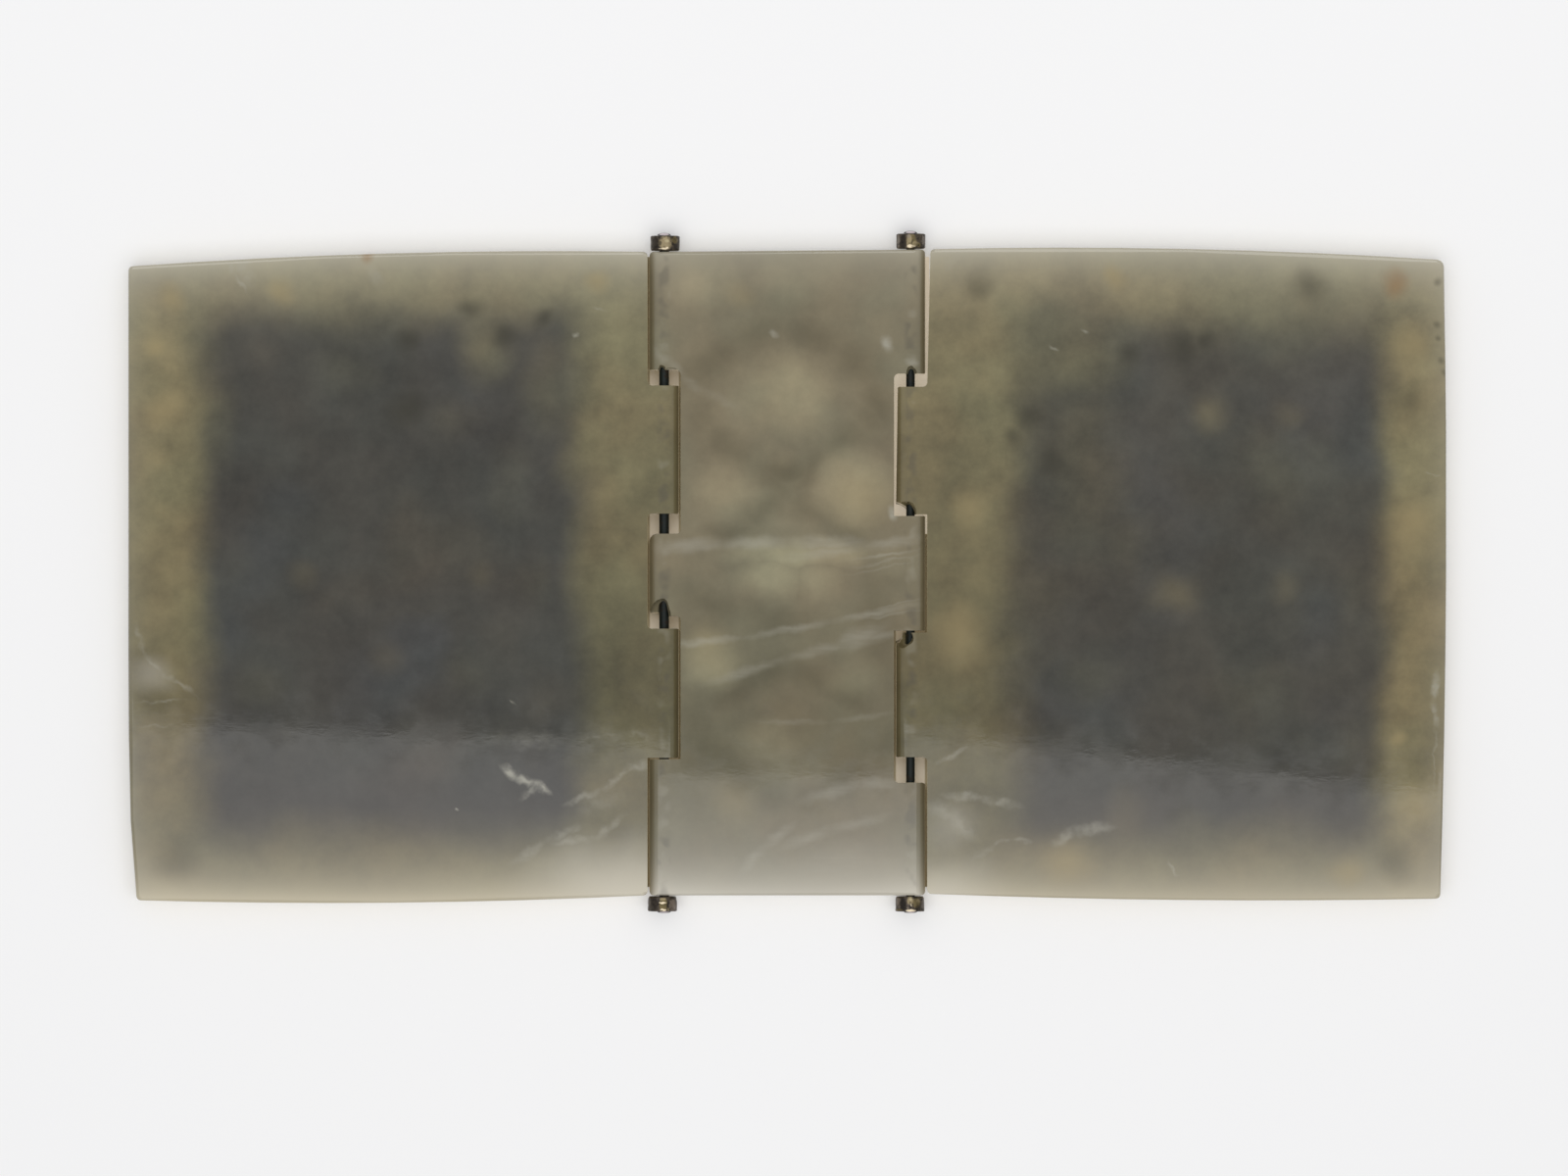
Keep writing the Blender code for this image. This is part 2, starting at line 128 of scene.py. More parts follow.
class Tree:
    """A material's nodes, built up from expressions. A value is a number, a tuple or a socket."""

    def __init__(self, name):
        self.material = bpy.data.materials.new(name)
        self.material.use_nodes = True
        self.tree = self.material.node_tree
        self.shader = self.tree.nodes["Principled BSDF"]
        place = self.tree.nodes.new("ShaderNodeTexCoord").outputs["Object"]
        self.place = self.vector("SCALE", place, scale=1 / MM)
        split = self.node("ShaderNodeSeparateXYZ", {"Vector": self.place})
        self.x, self.y, _ = split.outputs

    def node(self, kind, values, **settings):
        made = self.tree.nodes.new(kind)
        for key, value in settings.items():
            setattr(made, key, value)
        for key, value in values.items():
            self.put(made.inputs[key], value)
        return made

    def put(self, socket, value):
        if isinstance(value, bpy.types.NodeSocket):
            self.tree.links.new(value, socket)
        elif isinstance(value, tuple) and len(value) == 3 and socket.type == "RGBA":
            socket.default_value = (*value, 1.0)
        else:
            socket.default_value = value

    def math(self, operation, *values):
        numbered = dict(enumerate(values))
        return self.node("ShaderNodeMath", numbered, operation=operation).outputs[0]

    def vector(self, operation, *values, scale=None):
        numbered = dict(enumerate(values))
        if scale is not None:
            numbered["Scale"] = scale
        made = self.node("ShaderNodeVectorMath", numbered, operation=operation)
        gives_number = operation in ("DISTANCE", "DOT_PRODUCT")
        return made.outputs["Value" if gives_number else "Vector"]

    def smooth(self, value, start, end, low=0.0, high=1.0):
        """Goes from low where value is at start to high where it is at end, softly."""
        values = {"Value": value, "From Min": start, "From Max": end, "To Min": low, "To Max": high}
        kind = "ShaderNodeMapRange"
        return self.node(kind, values, interpolation_type="SMOOTHSTEP").outputs["Result"]

    def mix(self, share, first, second, blend="MIX"):
        values = {0: share, 6: first, 7: second}
        made = self.node("ShaderNodeMix", values, data_type="RGBA", blend_type=blend)
        return made.outputs[2]

    def noise(self, size, detail=2.0, place=None, roughness=0.5, shift=(0.0, 0.0, 0.0), output=0):
        """Noise with features of about this size in millimetres, around a half."""
        moved = self.vector("ADD", place or self.place, shift)
        values = {"Vector": moved, "Scale": 1.0 / size, "Detail": detail, "Roughness": roughness}
        return self.node("ShaderNodeTexNoise", values).outputs[output]

    def drift(self, size, shift=(0.0, 0.0, 0.0)):
        """A direction that wanders over the surface, to bend outlines with."""
        wander = self.noise(size, shift=shift, output=1)
        return self.vector("SUBTRACT", wander, (0.5, 0.5, 0.5))

    def bent(self, drift, reach):
        """The place, pushed about by up to reach millimetres."""
        push = self.vector("SCALE", drift, scale=NOISE_SPREAD * reach)
        return self.vector("ADD", self.place, push)

    def blot(self, place, centre, half, turn=0.0, core=0.0):
        """1 in the middle of a soft ellipse and 0 outside it."""
        cosine, sine = math.cos(turn), math.sin(turn)
        along = self.steps(place, centre, (cosine / half[0], sine / half[0]))
        across = self.steps(place, centre, (-sine / half[1], cosine / half[1]))
        square = self.math("MULTIPLY_ADD", across, across, self.math("MULTIPLY", along, along))
        return self.smooth(self.math("SQRT", square), 1.0, core)

    def steps(self, place, centre, direction):
        """Steps from the centre to the place, along a direction as long as one over a step."""
        reach = self.vector("DOT_PRODUCT", place, (*direction, 0.0))
        return self.math("SUBTRACT", reach, centre[0] * direction[0] + centre[1] * direction[1])

    def disc(self, place, centre, radius):
        """1 in the middle of a soft disc and 0 outside it."""
        flat = self.vector("MULTIPLY", place, (1.0, 1.0, 0.0))
        return self.smooth(self.vector("DISTANCE", flat, (*centre, 0.0)), radius, 0.0)

    def stroke(self, place, points, half_width, strength):
        """A soft stroke along a few points, thinning out at its ends."""
        ends = zip(points, points[1:])
        dashes = (self.dash(place, Vector(start), Vector(end), half_width) for start, end in ends)
        return self.math("MULTIPLY", self.most(dashes), strength)

    def dash(self, place, start, end, half_width):
        """A soft ellipse from one point to the next, a little longer than the way between them."""
        along = end - start
        half = (along.length * DASH_REACH + half_width, half_width)
        return self.blot(place, (start + end) / 2, half, math.atan2(along.y, along.x))

    def most(self, masks):
        """The strongest of several masks.

        Each is made and used in turn, because Cycles can hold only a few values at once.
        """
        masks = iter(masks)
        found = next(masks)
        for mask in masks:
            found = self.math("MAXIMUM", found, mask)
        return found

    def bump(self, height, distance):
        values = {"Height": height, "Strength": 1.0, "Distance": distance}
        return self.node("ShaderNodeBump", values).outputs["Normal"]


# A board's edge is fitted to its outermost points, without those in knuckle gaps and broken places
EDGE_SEARCH_DEPTH = 4.5
DEEPEST_DIP = 0.25


def edge_parabola(node, along, across, sign):
    """Coefficients, in millimetres, of the parabola that an edge of a board follows."""
    points = np.array([vert.co for vert in frame["nodes"][node].data.vertices]) / MM
    reach = sign * points[:, across]
    outer = points[reach > reach.max() - EDGE_SEARCH_DEPTH]
    furthest = {}
    for point in outer:
        key = round(point[along], 1)
        furthest[key] = max(furthest.get(key, -math.inf), sign * point[across])
    places = np.array(list(furthest))
    reaches = sign * np.array(list(furthest.values()))
    first = np.polyfit(places, reaches, 2)
    near = sign * (reaches - np.polyval(first, places)) > -DEEPEST_DIP
    return [float(value) for value in np.polyfit(places[near], reaches[near], 2)]


def to_edge(tree, node, along, across, sign):
    """How far a place lies inside that edge of the board, in millimetres."""
    second, first, constant = edge_parabola(node, along, across, sign)
    position, depth = (tree.x, tree.y) if along == 0 else (tree.y, tree.x)
    slope = tree.math("MULTIPLY_ADD", position, second, first)
    edge = tree.math("MULTIPLY_ADD", position, slope, constant)
    return tree.math("MULTIPLY", tree.math("SUBTRACT", edge, depth), float(sign))


CLOUD_SIZE = 11.0
CLOUD_DETAIL = 6.0
CLOUD_ROUGHNESS = 0.66
HUE_SIZE = 17.0


def mottled(tree, colour, share):
    """The stone's own cloudiness, from broad clouds down to fine grain, and its drifting hues."""
    cloud = tree.noise(CLOUD_SIZE, CLOUD_DETAIL, roughness=CLOUD_ROUGHNESS)
    amount = tree.math("MULTIPLY_ADD", cloud, 2 * share, 1.0 - share)
    clouded = tree.vector("SCALE", colour, scale=amount)
    hue = tree.noise(HUE_SIZE, shift=(60.0, 7.0, 0.0))
    tint = tree.mix(tree.smooth(hue, 0.3, 0.7), BROWNISH_TINT, GREENISH_TINT)
    return tree.mix(1.0, clouded, tint, "MULTIPLY")


def glowing(tree, colour, distance, glow, strength, length):
    """Light that comes in through an edge and fades inwards."""
    fading = tree.math("EXPONENT", tree.math("DIVIDE", distance, -length))
    return tree.mix(tree.math("MULTIPLY", fading, strength), colour, glow)


JADE_IOR = 1.6
RIPPLE_SIZE = 1.5
RIPPLE_STRETCH = (0.45, 1.0, 1.0)
RIPPLE_HEIGHT = 0.0012 * MM
WEAR_SIZE = 5.0
LEAST_WEAR = 0.02
MOST_WEAR = 0.08


def finish_stone(tree, colour, twist=0.0, tilt=0.0):
    """Polish: the board's slight twist and ripple bend reflections, and wear dulls them.

    The upright sides glow faintly, for the light that real stone lets through.
    """
    stretched = tree.vector("MULTIPLY", tree.place, RIPPLE_STRETCH)
    ripple = tree.noise(RIPPLE_SIZE, 3.0, place=stretched, shift=(3.0, 17.0, 0.0), roughness=0.6)
    slope = tree.math("MULTIPLY_ADD", tree.x, twist * MM * MM, tilt * MM)
    bent = tree.math("MULTIPLY", slope, tree.y)
    height = tree.math("MULTIPLY_ADD", ripple, RIPPLE_HEIGHT, bent)
    tree.put(tree.shader.inputs["Base Color"], colour)
    dull = tree.noise(WEAR_SIZE, 3.0, shift=(71.0, 1.0, 0.0))
    wear = tree.smooth(dull, 0.35, 0.8, LEAST_WEAR, MOST_WEAR)
    tree.put(tree.shader.inputs["Roughness"], wear)
    tree.put(tree.shader.inputs["IOR"], JADE_IOR)
    normal = tree.node("ShaderNodeTexCoord", {}).outputs["Normal"]
    upright = tree.node("ShaderNodeSeparateXYZ", {"Vector": normal}).outputs[2]
    side = tree.smooth(tree.math("ABSOLUTE", upright), 0.25, 0.05)
    tree.put(tree.shader.inputs["Emission Color"], SIDE_GLOW)
    tree.put(tree.shader.inputs["Emission Strength"], side)
    tree.put(tree.shader.inputs["Normal"], tree.bump(height, 1.0))
    return tree.material


def inside_box(tree, place, low, high, soft):
    """1 inside a rectangle, falling to 0 over soft millimetres across each of its four sides."""
    left, right, bottom, top = soft
    x, y, _ = tree.node("ShaderNodeSeparateXYZ", {"Vector": place}).outputs
    mask = tree.smooth(x, low[0] - left, low[0] + left)
    mask = tree.math("MULTIPLY", mask, tree.smooth(x, high[0] + right, high[0] - right))
    mask = tree.math("MULTIPLY", mask, tree.smooth(y, low[1] - bottom, low[1] + bottom))
    return tree.math("MULTIPLY", mask, tree.smooth(y, high[1] + top, high[1] - top))


# What shows in each cover. The field is given by its lower left and upper right corners; thin
# places, clouds and the warm border by centre, half sizes and strength; spots by centre and radius;
# strokes by their points, half width and strength.
COVERS = {
    "left_cover": {
        "side": -1,
        "field": ((-107.4, -48.8), (-38.0, 48.6)),
        "thin": (
            ((-55.0, 41.0), (7.0, 9.0), 0.42), ((-82.0, 38.0), (9.0, 8.0), 0.12),
            ((-44.0, 33.0), (7.0, 12.0), 0.24),
            ((-62.0, 28.0), (10.0, 6.0), 0.12), ((-50.0, 16.0), (7.0, 10.0), 0.16),
            ((-104.0, 28.0), (5.0, 14.0), 0.2), ((-46.0, -2.0), (5.0, 8.0), 0.12),
            ((-97.0, -21.0), (8.0, 6.0), 0.14), ((-58.0, -18.0), (8.0, 6.0), 0.12),
        ),
        "soft": (4.6, 5.0, 6.0, 7.0),
        "field_strength": 0.96,
        "twist": -0.028,
        "tilt": 0.0,
        "yellow": (
            ((-112.9, 50.1), 3.0), ((-93.5, 51.8), 3.0), ((-113.8, 30.2), 3.6), ((-34.6, 52.5), 2.4),
            ((-73.0, -15.7), 4.0), ((-56.1, -0.3), 3.0), ((-88.8, -0.6), 3.2), ((-116.0, 41.5), 2.4),
        ),
        "rust": (((-76.8, 58.0), 1.6),),
        "dark": (
            ((-69.2, 43.3), 2.4), ((-51.2, 43.3), 3.0), ((-45.1, 46.4), 2.4), ((-57.0, 48.8), 2.6),
            ((-70.8, 30.5), 4.0), ((-112.2, -53.4), 5.0),
        ),
        "strokes": (
            (((-51.9, -35.9), (-49.7, -37.9), (-46.6, -38.9), (-44.0, -40.3)), 1.25, 0.95),
            (((-46.0, -39.4), (-48.6, -41.4)), 1.0, 0.6),
            (((-50.1, -53.4), (-44.8, -49.6), (-37.6, -46.6)), 1.3, 0.34),
            (((-40.6, -42.6), (-34.4, -40.6), (-29.4, -36.3), (-25.5, -35.2)), 1.2, 0.4),
            (((-43.8, -49.8), (-35.2, -48.9), (-30.0, -44.6)), 1.1, 0.4),
            (((-54.0, -30.6), (-40.0, -31.0), (-26.0, -30.0)), 2.4, 0.16),
            (((-38.0, -44.0), (-31.0, -41.0)), 2.6, 0.2),
            (((-38.4, -31.0), (-30.0, -29.4), (-25.0, -30.4)), 0.9, 0.25),
            (((-103.4, 58.6), (-101.8, 54.6), (-99.4, 51.8)), 0.7, 0.5),
            (((-101.4, 58.0), (-99.0, 53.6)), 2.4, 0.45),
            (((-119.6, -9.6), (-118.2, -15.0), (-114.6, -18.6), (-108.4, -22.6)), 0.7, 0.35),
            (((-120.0, -24.0), (-110.0, -23.6)), 0.5, 0.3),
            (((-119.6, -28.6), (-113.0, -28.2)), 0.4, 0.2),
            (((-115.0, -18.4), (-114.0, -19.0)), 0.8, 0.2),
            (((-76.4, 55.6), (-75.0, 52.6)), 1.6, 0.25),
            (((-50.9, -23.6), (-50.3, -24.2)), 0.4, 0.6),
            (((-61.0, -43.2), (-60.4, -43.7)), 0.4, 0.7),
            (((-35.4, 48.6), (-33.8, 48.0)), 0.6, 0.6),
            (((-39.0, 43.6), (-38.4, 43.4)), 0.5, 0.6),
        ),
        "clouds": (((-30.0, -58.0), (26.0, 12.0), 0.6), ((-116.0, -19.5), (6.0, 4.2), 0.28)),
        "warm": ((-115.0, 0.0), (10.0, 75.0), 0.28),
        "tail_glow": 0.95,
    },
    "right_cover": {
        "side": 1,
        "field": ((42.5, -49.0), (109.2, 46.5)),
        "thin": (
            ((52.0, 39.0), (16.0, 10.0), 0.5), ((70.0, 50.0), (12.0, 6.0), 0.3),
            ((54.0, 18.0), (12.0, 26.0), 0.26), ((90.0, 18.0), (10.0, 14.0), 0.14),
            ((78.0, 28.0), (6.0, 6.0), 0.14), ((62.0, 5.0), (12.0, 10.0), 0.14),
            ((48.0, -4.0), (7.0, 9.0), 0.18), ((104.0, -6.0), (6.0, 12.0), 0.18),
            ((96.0, 20.0), (8.0, 8.0), 0.12), ((70.0, -5.0), (8.0, 6.0), 0.16),
            ((56.0, -20.0), (10.0, 6.0), 0.14), ((86.0, -22.0), (12.0, 8.0), 0.12),
            ((104.0, -32.0), (7.0, 9.0), 0.14),
        ),
        "soft": (6.5, 4.5, 6.0, 9.0),
        "field_strength": 0.9,
        "twist": -0.072,
        "tilt": 0.0038,
        "yellow": (
            ((59.5, 54.3), 2.4), ((90.8, -2.6), 3.0), ((70.5, -4.0), 5.5), ((32.3, -12.0), 5.5),
            ((51.2, -53.4), 6.0), ((102.2, -54.3), 3.6), ((61.7, -43.3), 4.2), ((114.8, 8.0), 6.0),
            ((114.8, 41.1), 4.5), ((113.5, -31.0), 1.8), ((114.9, -43.3), 4.4), ((33.4, 11.6), 4.0),
            ((77.4, 28.9), 5.0), ((92.4, 28.9), 3.6), ((59.6, 54.0), 2.0),
        ),
        "rust": (((112.6, 52.8), 3.0),),
        "dark": (
            ((48.5, 20.4), 3.6), ((43.7, 28.4), 3.0), ((40.6, 24.2), 2.2), ((72.3, 41.1), 3.6),
            ((76.1, 42.2), 2.6), ((62.4, 39.5), 2.6), ((34.7, 53.6), 3.2), ((114.6, 31.6), 3.6),
            ((112.2, -53.0), 4.5), ((120.8, 53.0), 0.9), ((120.8, 45.6), 0.9), ((120.8, 42.9), 0.7),
            ((120.9, 38.1), 0.8), ((120.9, 35.9), 0.7), ((95.6, 52.0), 4.0),
        ),
        "strokes": (
            (((54.0, 44.4), (55.2, 44.0)), 0.6, 0.6),
            (((48.4, 41.4), (49.6, 40.8)), 0.5, 0.5),
            (((27.9, -35.2), (33.0, -32.3)), 0.8, 0.4),
            (((29.1, -41.1), (36.0, -41.6), (42.0, -42.9)), 1.2, 0.42),
            (((26.2, -43.3), (30.0, -44.6), (33.7, -48.2)), 2.3, 0.36),
            (((38.4, -49.9), (41.4, -49.0), (44.6, -49.2)), 0.7, 0.35),
            (((49.4, -49.8), (53.0, -47.6), (59.7, -46.8)), 1.6, 0.42),
            (((34.4, -52.6), (38.0, -50.4)), 0.9, 0.25),
            (((70.1, -53.4), (71.4, -55.5)), 0.5, 0.5),
            (((119.4, -18.5), (118.5, -24.0), (119.2, -27.5)), 0.9, 0.65),
            (((119.1, -27.5), (118.6, -40.6)), 0.35, 0.3),
            (((31.6, 58.6), (29.4, 55.6)), 1.0, 0.2),
            (((117.1, 18.2), (120.2, 17.9)), 0.3, 0.5),
        ),
        "clouds": (((27.0, -59.0), (18.0, 9.0), 0.5), ((30.0, -46.5), (8.0, 7.0), 0.2)),
        "warm": ((116.0, -6.0), (12.0, 90.0), 0.5),
        "tail_glow": 0.8,
    },
}
# Each kind of spot: its colour, its strength and how much the dark field adds to that
SPOTS = {
    "yellow": (YELLOW, 0.46, -0.86),
    "rust": (RUST, 0.5, 0.0),
    "dark": (DARK_GREEN, 0.42, 0.5),
}
SPOT_REACH = 1.35
ROUNDEL_PITCH = 10.4
ROUNDEL_INSET = 6.2
ROUNDEL_RADIUS = 1.5


def roundels(tree, distance, soft):
    """Gilt rounds in a row a little inside a cover's outer edge."""
    phase = tree.math("PINGPONG", tree.y, ROUNDEL_PITCH / 2)
    across = tree.math("SUBTRACT", distance, ROUNDEL_INSET)
    square = tree.math("MULTIPLY_ADD", across, across, tree.math("MULTIPLY", phase, phase))
    return tree.smooth(tree.math("SQRT", square), ROUNDEL_RADIUS + soft, ROUNDEL_RADIUS - soft)


def edge_distances(tree, node):
    """How far a place lies inside a cover's outer, head and tail edges."""
    outer = to_edge(tree, node, 1, 0, COVERS[node]["side"])
    return outer, to_edge(tree, node, 0, 1, 1), to_edge(tree, node, 0, 1, -1)


def cover_inner_material(node):
    facts = COVERS[node]
    tree = Tree(node + "_jade")
    outer, head, tail = edge_distances(tree, node)
    drift = tree.drift(14.0)
    soft_place = tree.bent(drift, 1.6)
    vein_place = tree.bent(tree.drift(2.2, shift=(9.0, 4.0, 2.0)), 0.55)

    lift = tree.smooth(tree.y, -30.0, 62.0, high=0.45)
    colour = tree.mix(lift, COVER_BODY, COVER_PALE)
    centre, half, strength = facts["warm"]
    warm = tree.math("MULTIPLY", tree.blot(soft_place, centre, half, core=0.4), strength)
    colour = tree.mix(warm, colour, WARM_BORDER)
    field = inside_box(tree, tree.bent(drift, 2.2), *facts["field"], facts["soft"])
    hues = tree.noise(26.0, 1.5, shift=(2.0, 41.0, 0.0))
    paint = tree.mix(tree.smooth(hues, 0.5, 0.3), FIELD, FIELD_BLUE)
    paint = tree.mix(tree.smooth(hues, 0.55, 0.75, high=0.7), paint, FIELD_BROWN)
    violet = tree.smooth(tree.y, -30.0, -46.0, high=0.8)
    paint = tree.mix(violet, paint, FIELD_VIOLET)
    thin = tree.most(
        tree.math("MULTIPLY", tree.blot(soft_place, centre, half), strength)
        for centre, half, strength in facts["thin"]
    )
    cover = tree.math("SUBTRACT", facts["field_strength"], thin)
    field = tree.math("MULTIPLY", field, cover)
    colour = mottled(tree, tree.mix(field, colour, paint), share=0.78)
    colour = glowing(tree, colour, head, HEAD_GLOW, strength=0.85, length=4.5)
    colour = glowing(tree, colour, tail, TAIL_GLOW, strength=facts["tail_glow"], length=5.0)
    colour = glowing(tree, colour, outer, HEAD_GLOW, strength=0.25, length=2.5)
    for centre, half, strength in facts["clouds"]:
        cloud = tree.math("MULTIPLY", tree.blot(soft_place, centre, half), strength)
        colour = tree.mix(cloud, colour, MILKY)

    for kind, (spot_colour, strength, over_field) in SPOTS.items():
        spots = ((centre, radius * SPOT_REACH) for centre, radius in facts[kind])
        masks = (tree.disc(soft_place, centre, radius) for centre, radius in spots)
        share = tree.math("MULTIPLY", tree.most(masks), strength)
        share = tree.math("MULTIPLY", share, tree.math("MULTIPLY_ADD", field, over_field, 1.0))
        colour = tree.mix(share, colour, spot_colour)
    gleam = tree.smooth(tree.noise(16.0, 1.0, shift=(8.0, 60.0, 0.0)), 0.4, 0.62, high=0.2)
    shining = tree.math("MULTIPLY", roundels(tree, outer, soft=2.2), gleam)
    colour = tree.mix(shining, colour, YELLOW)

    threads = tree.noise(1.8, shift=(1.0, 2.0, 3.0))
    threads = tree.smooth(threads, 0.3, 0.6, low=0.3, high=0.8)
    veins = tree.most(tree.stroke(vein_place, *vein) for vein in facts["strokes"])
    colour = tree.mix(tree.math("MULTIPLY", veins, threads), colour, WHITE)
    colour = at_hinge(tree, colour, "left" if facts["side"] < 0 else "right", -facts["side"])
    return finish_stone(tree, colour, facts["twist"], facts["tilt"])


def at_hinge(tree, colour, hinge, outwards):
    """Painted shade darkens the knuckles' rounded tips, and the bored hole shows as a faint band."""
    off = tree.math("SUBTRACT", tree.x, HINGES[hinge])
    tip = tree.math("MULTIPLY", off, float(outwards))
    # Painted shade on the rounded tips, darker towards their edge
    colour = tree.mix(tree.smooth(tip, 1.2, 2.5, high=0.45), colour, TIP_PAINTED_SHADE)
    band = tree.smooth(tree.math("ABSOLUTE", off), 1.6, 0.4)
    smudges = tree.noise(3.4, 1.0, shift=(0.0, 5.0, 0.0))
    dark = tree.math("MULTIPLY", band, tree.smooth(smudges, 0.5, 0.34, high=0.32))
    pale = tree.math("MULTIPLY", band, tree.smooth(smudges, 0.55, 0.72, high=0.16))
    return tree.mix(pale, tree.mix(dark, colour, BORE_DARK), WHITE)


# What shows in the spine. Pale ovals are given by centre, half sizes and strength; shades and
# strokes by their points, half width and strength; yellow places by centre and radius.
SPINE_OVALS = (
    ((0.6, 32.6), (11.0, 10.0), 0.78),
    ((12.6, 15.2), (10.0, 9.0), 0.75),
    ((-11.8, 15.0), (10.0, 7.5), 0.5),
    ((-3.0, -0.8), (9.0, 6.0), 0.8),
    ((5.5, -1.4), (6.0, 5.5), 0.6),
    ((-14.4, -16.4), (8.0, 6.5), 0.55),
    ((12.5, -19.5), (7.0, 5.0), 0.25),
    ((-3.2, -31.0), (9.0, 5.5), 0.3),
    ((-15.5, 53.5), (9.0, 7.5), 0.65),
    ((3.0, 53.5), (14.0, 7.0), 0.15),
    ((2.0, 3.4), (18.0, 3.8), 0.95),
)
SPINE_SHADES = (
    (((-18.0, 35.0), (-10.0, 42.0), (0.0, 45.6), (9.0, 42.0), (17.0, 35.0)), 6.0, 0.65),
    (((-8.0, 50.0), (8.0, 48.0)), 6.5, 0.4),
    (((-16.0, 30.5), (-15.0, 24.0)), 5.5, 0.5),
    (((17.5, 33.0), (15.5, 26.0)), 5.5, 0.6),
    (((-15.5, 26.0), (-6.0, 20.5), (2.0, 14.0), (8.0, 9.0)), 4.8, 0.62),
    (((15.5, 26.5), (7.0, 21.8), (0.0, 15.0), (-8.0, 9.0)), 4.8, 0.62),
    (((-15.0, 7.6), (-6.0, 7.4)), 2.6, 0.6),
    (((8.0, 8.2), (14.0, 7.0)), 2.6, 0.5),
    (((-19.0, -4.0), (-8.0, -8.0), (4.0, -9.0)), 4.4, 0.6),
    (((14.0, -3.0), (21.0, -2.0)), 3.6, 0.45),
    (((-14.0, -24.5), (-6.0, -19.8), (0.0, -18.4), (8.0, -20.4), (15.0, -25.0)), 4.2, 0.9),
    (((-12.0, -34.5), (-6.0, -40.0), (1.0, -42.4), (8.0, -40.0), (14.0, -36.0)), 4.8, 0.95),
    (((-17.0, -27.0), (-17.0, -33.0)), 6.5, 0.6),
    (((-10.0, -31.0), (16.0, -30.0)), 9.0, 0.45),
    (((15.0, -33.0), (20.0, -29.0)), 4.0, 0.5),
    (((16.0, -1.0), (17.5, -20.0)), 5.0, 0.7),
    (((-16.0, -33.0), (-12.0, -35.0)), 6.0, 0.95),
    (((-4.0, 18.8), (4.0, 18.6)), 3.6, 0.9),
    (((16.0, 34.0), (18.0, 28.0)), 4.5, 0.8),
)
SPINE_YELLOW = (
    ((-10.6, -41.6), 7.5), ((-14.0, -14.5), 7.0), ((13.5, 13.0), 8.0), ((-9.0, 50.6), 4.0),
)
SPINE_STROKES = (
    (((-24.0, 4.4), (-12.0, 5.2), (0.0, 5.4), (14.0, 5.4)), 2.0, 0.42),
    (((0.0, 2.6), (14.0, 4.6), (24.5, 6.2)), 1.5, 0.36),
    (((12.0, 2.2), (24.5, 4.2)), 0.5, 0.35),
    (((12.0, 0.8), (24.5, 3.2)), 0.4, 0.3),
    (((10.0, -0.6), (24.5, 2.0)), 0.35, 0.2),
    (((-23.0, -13.9), (-8.0, -12.0), (8.0, -9.2), (25.0, -5.8)), 1.2, 0.42),
    (((14.0, -7.4), (25.0, -4.8)), 0.45, 0.35),
    (((13.0, -9.0), (25.0, -6.8)), 0.45, 0.3),
    (((-14.5, -20.4), (0.0, -16.0), (12.0, -12.8), (21.0, -11.0)), 1.5, 0.32),
    (((10.0, -13.4), (17.0, -10.4)), 2.6, 0.42),
    (((-6.0, -27.4), (8.0, -27.6), (19.4, -26.0)), 0.8, 0.2),
    (((-8.4, -55.3), (-4.3, -50.3), (0.7, -46.8)), 1.5, 0.35),
    (((-1.0, -50.4), (8.0, -47.4), (18.0, -45.0)), 1.6, 0.3),
    (((3.0, -42.0), (14.0, -38.6), (20.0, -39.0)), 1.8, 0.3),
    (((4.0, -55.0), (16.0, -52.0)), 6.0, 0.22),
    (((18.0, 42.4), (18.6, 41.4)), 1.5, 0.75),
    (((-2.9, 43.9), (-2.3, 43.6)), 1.0, 0.5),
    (((22.2, 38.6), (23.6, 38.4)), 1.0, 0.6),
    (((19.3, 11.4), (19.5, 10.4)), 1.2, 1.0),
    (((-24.3, 40.6), (-21.8, 38.6), (-19.4, 36.4)), 1.5, 0.25),
    (((-20.0, 36.2), (-15.4, 33.0), (-9.6, 30.6)), 1.4, 0.16),
    (((-24.9, -7.4), (-23.4, -8.8), (-21.4, -9.6), (-20.6, -11.2)), 0.5, 0.7),
)
GRAIN_TURN = math.radians(-9.0)
GRAIN_STRETCH = (0.12, 1.0, 1.0)


def spine_edges(tree):
    """How far a place lies inside the spine's head and tail edges."""
    return to_edge(tree, "spine", 0, 1, 1), to_edge(tree, "spine", 0, 1, -1)


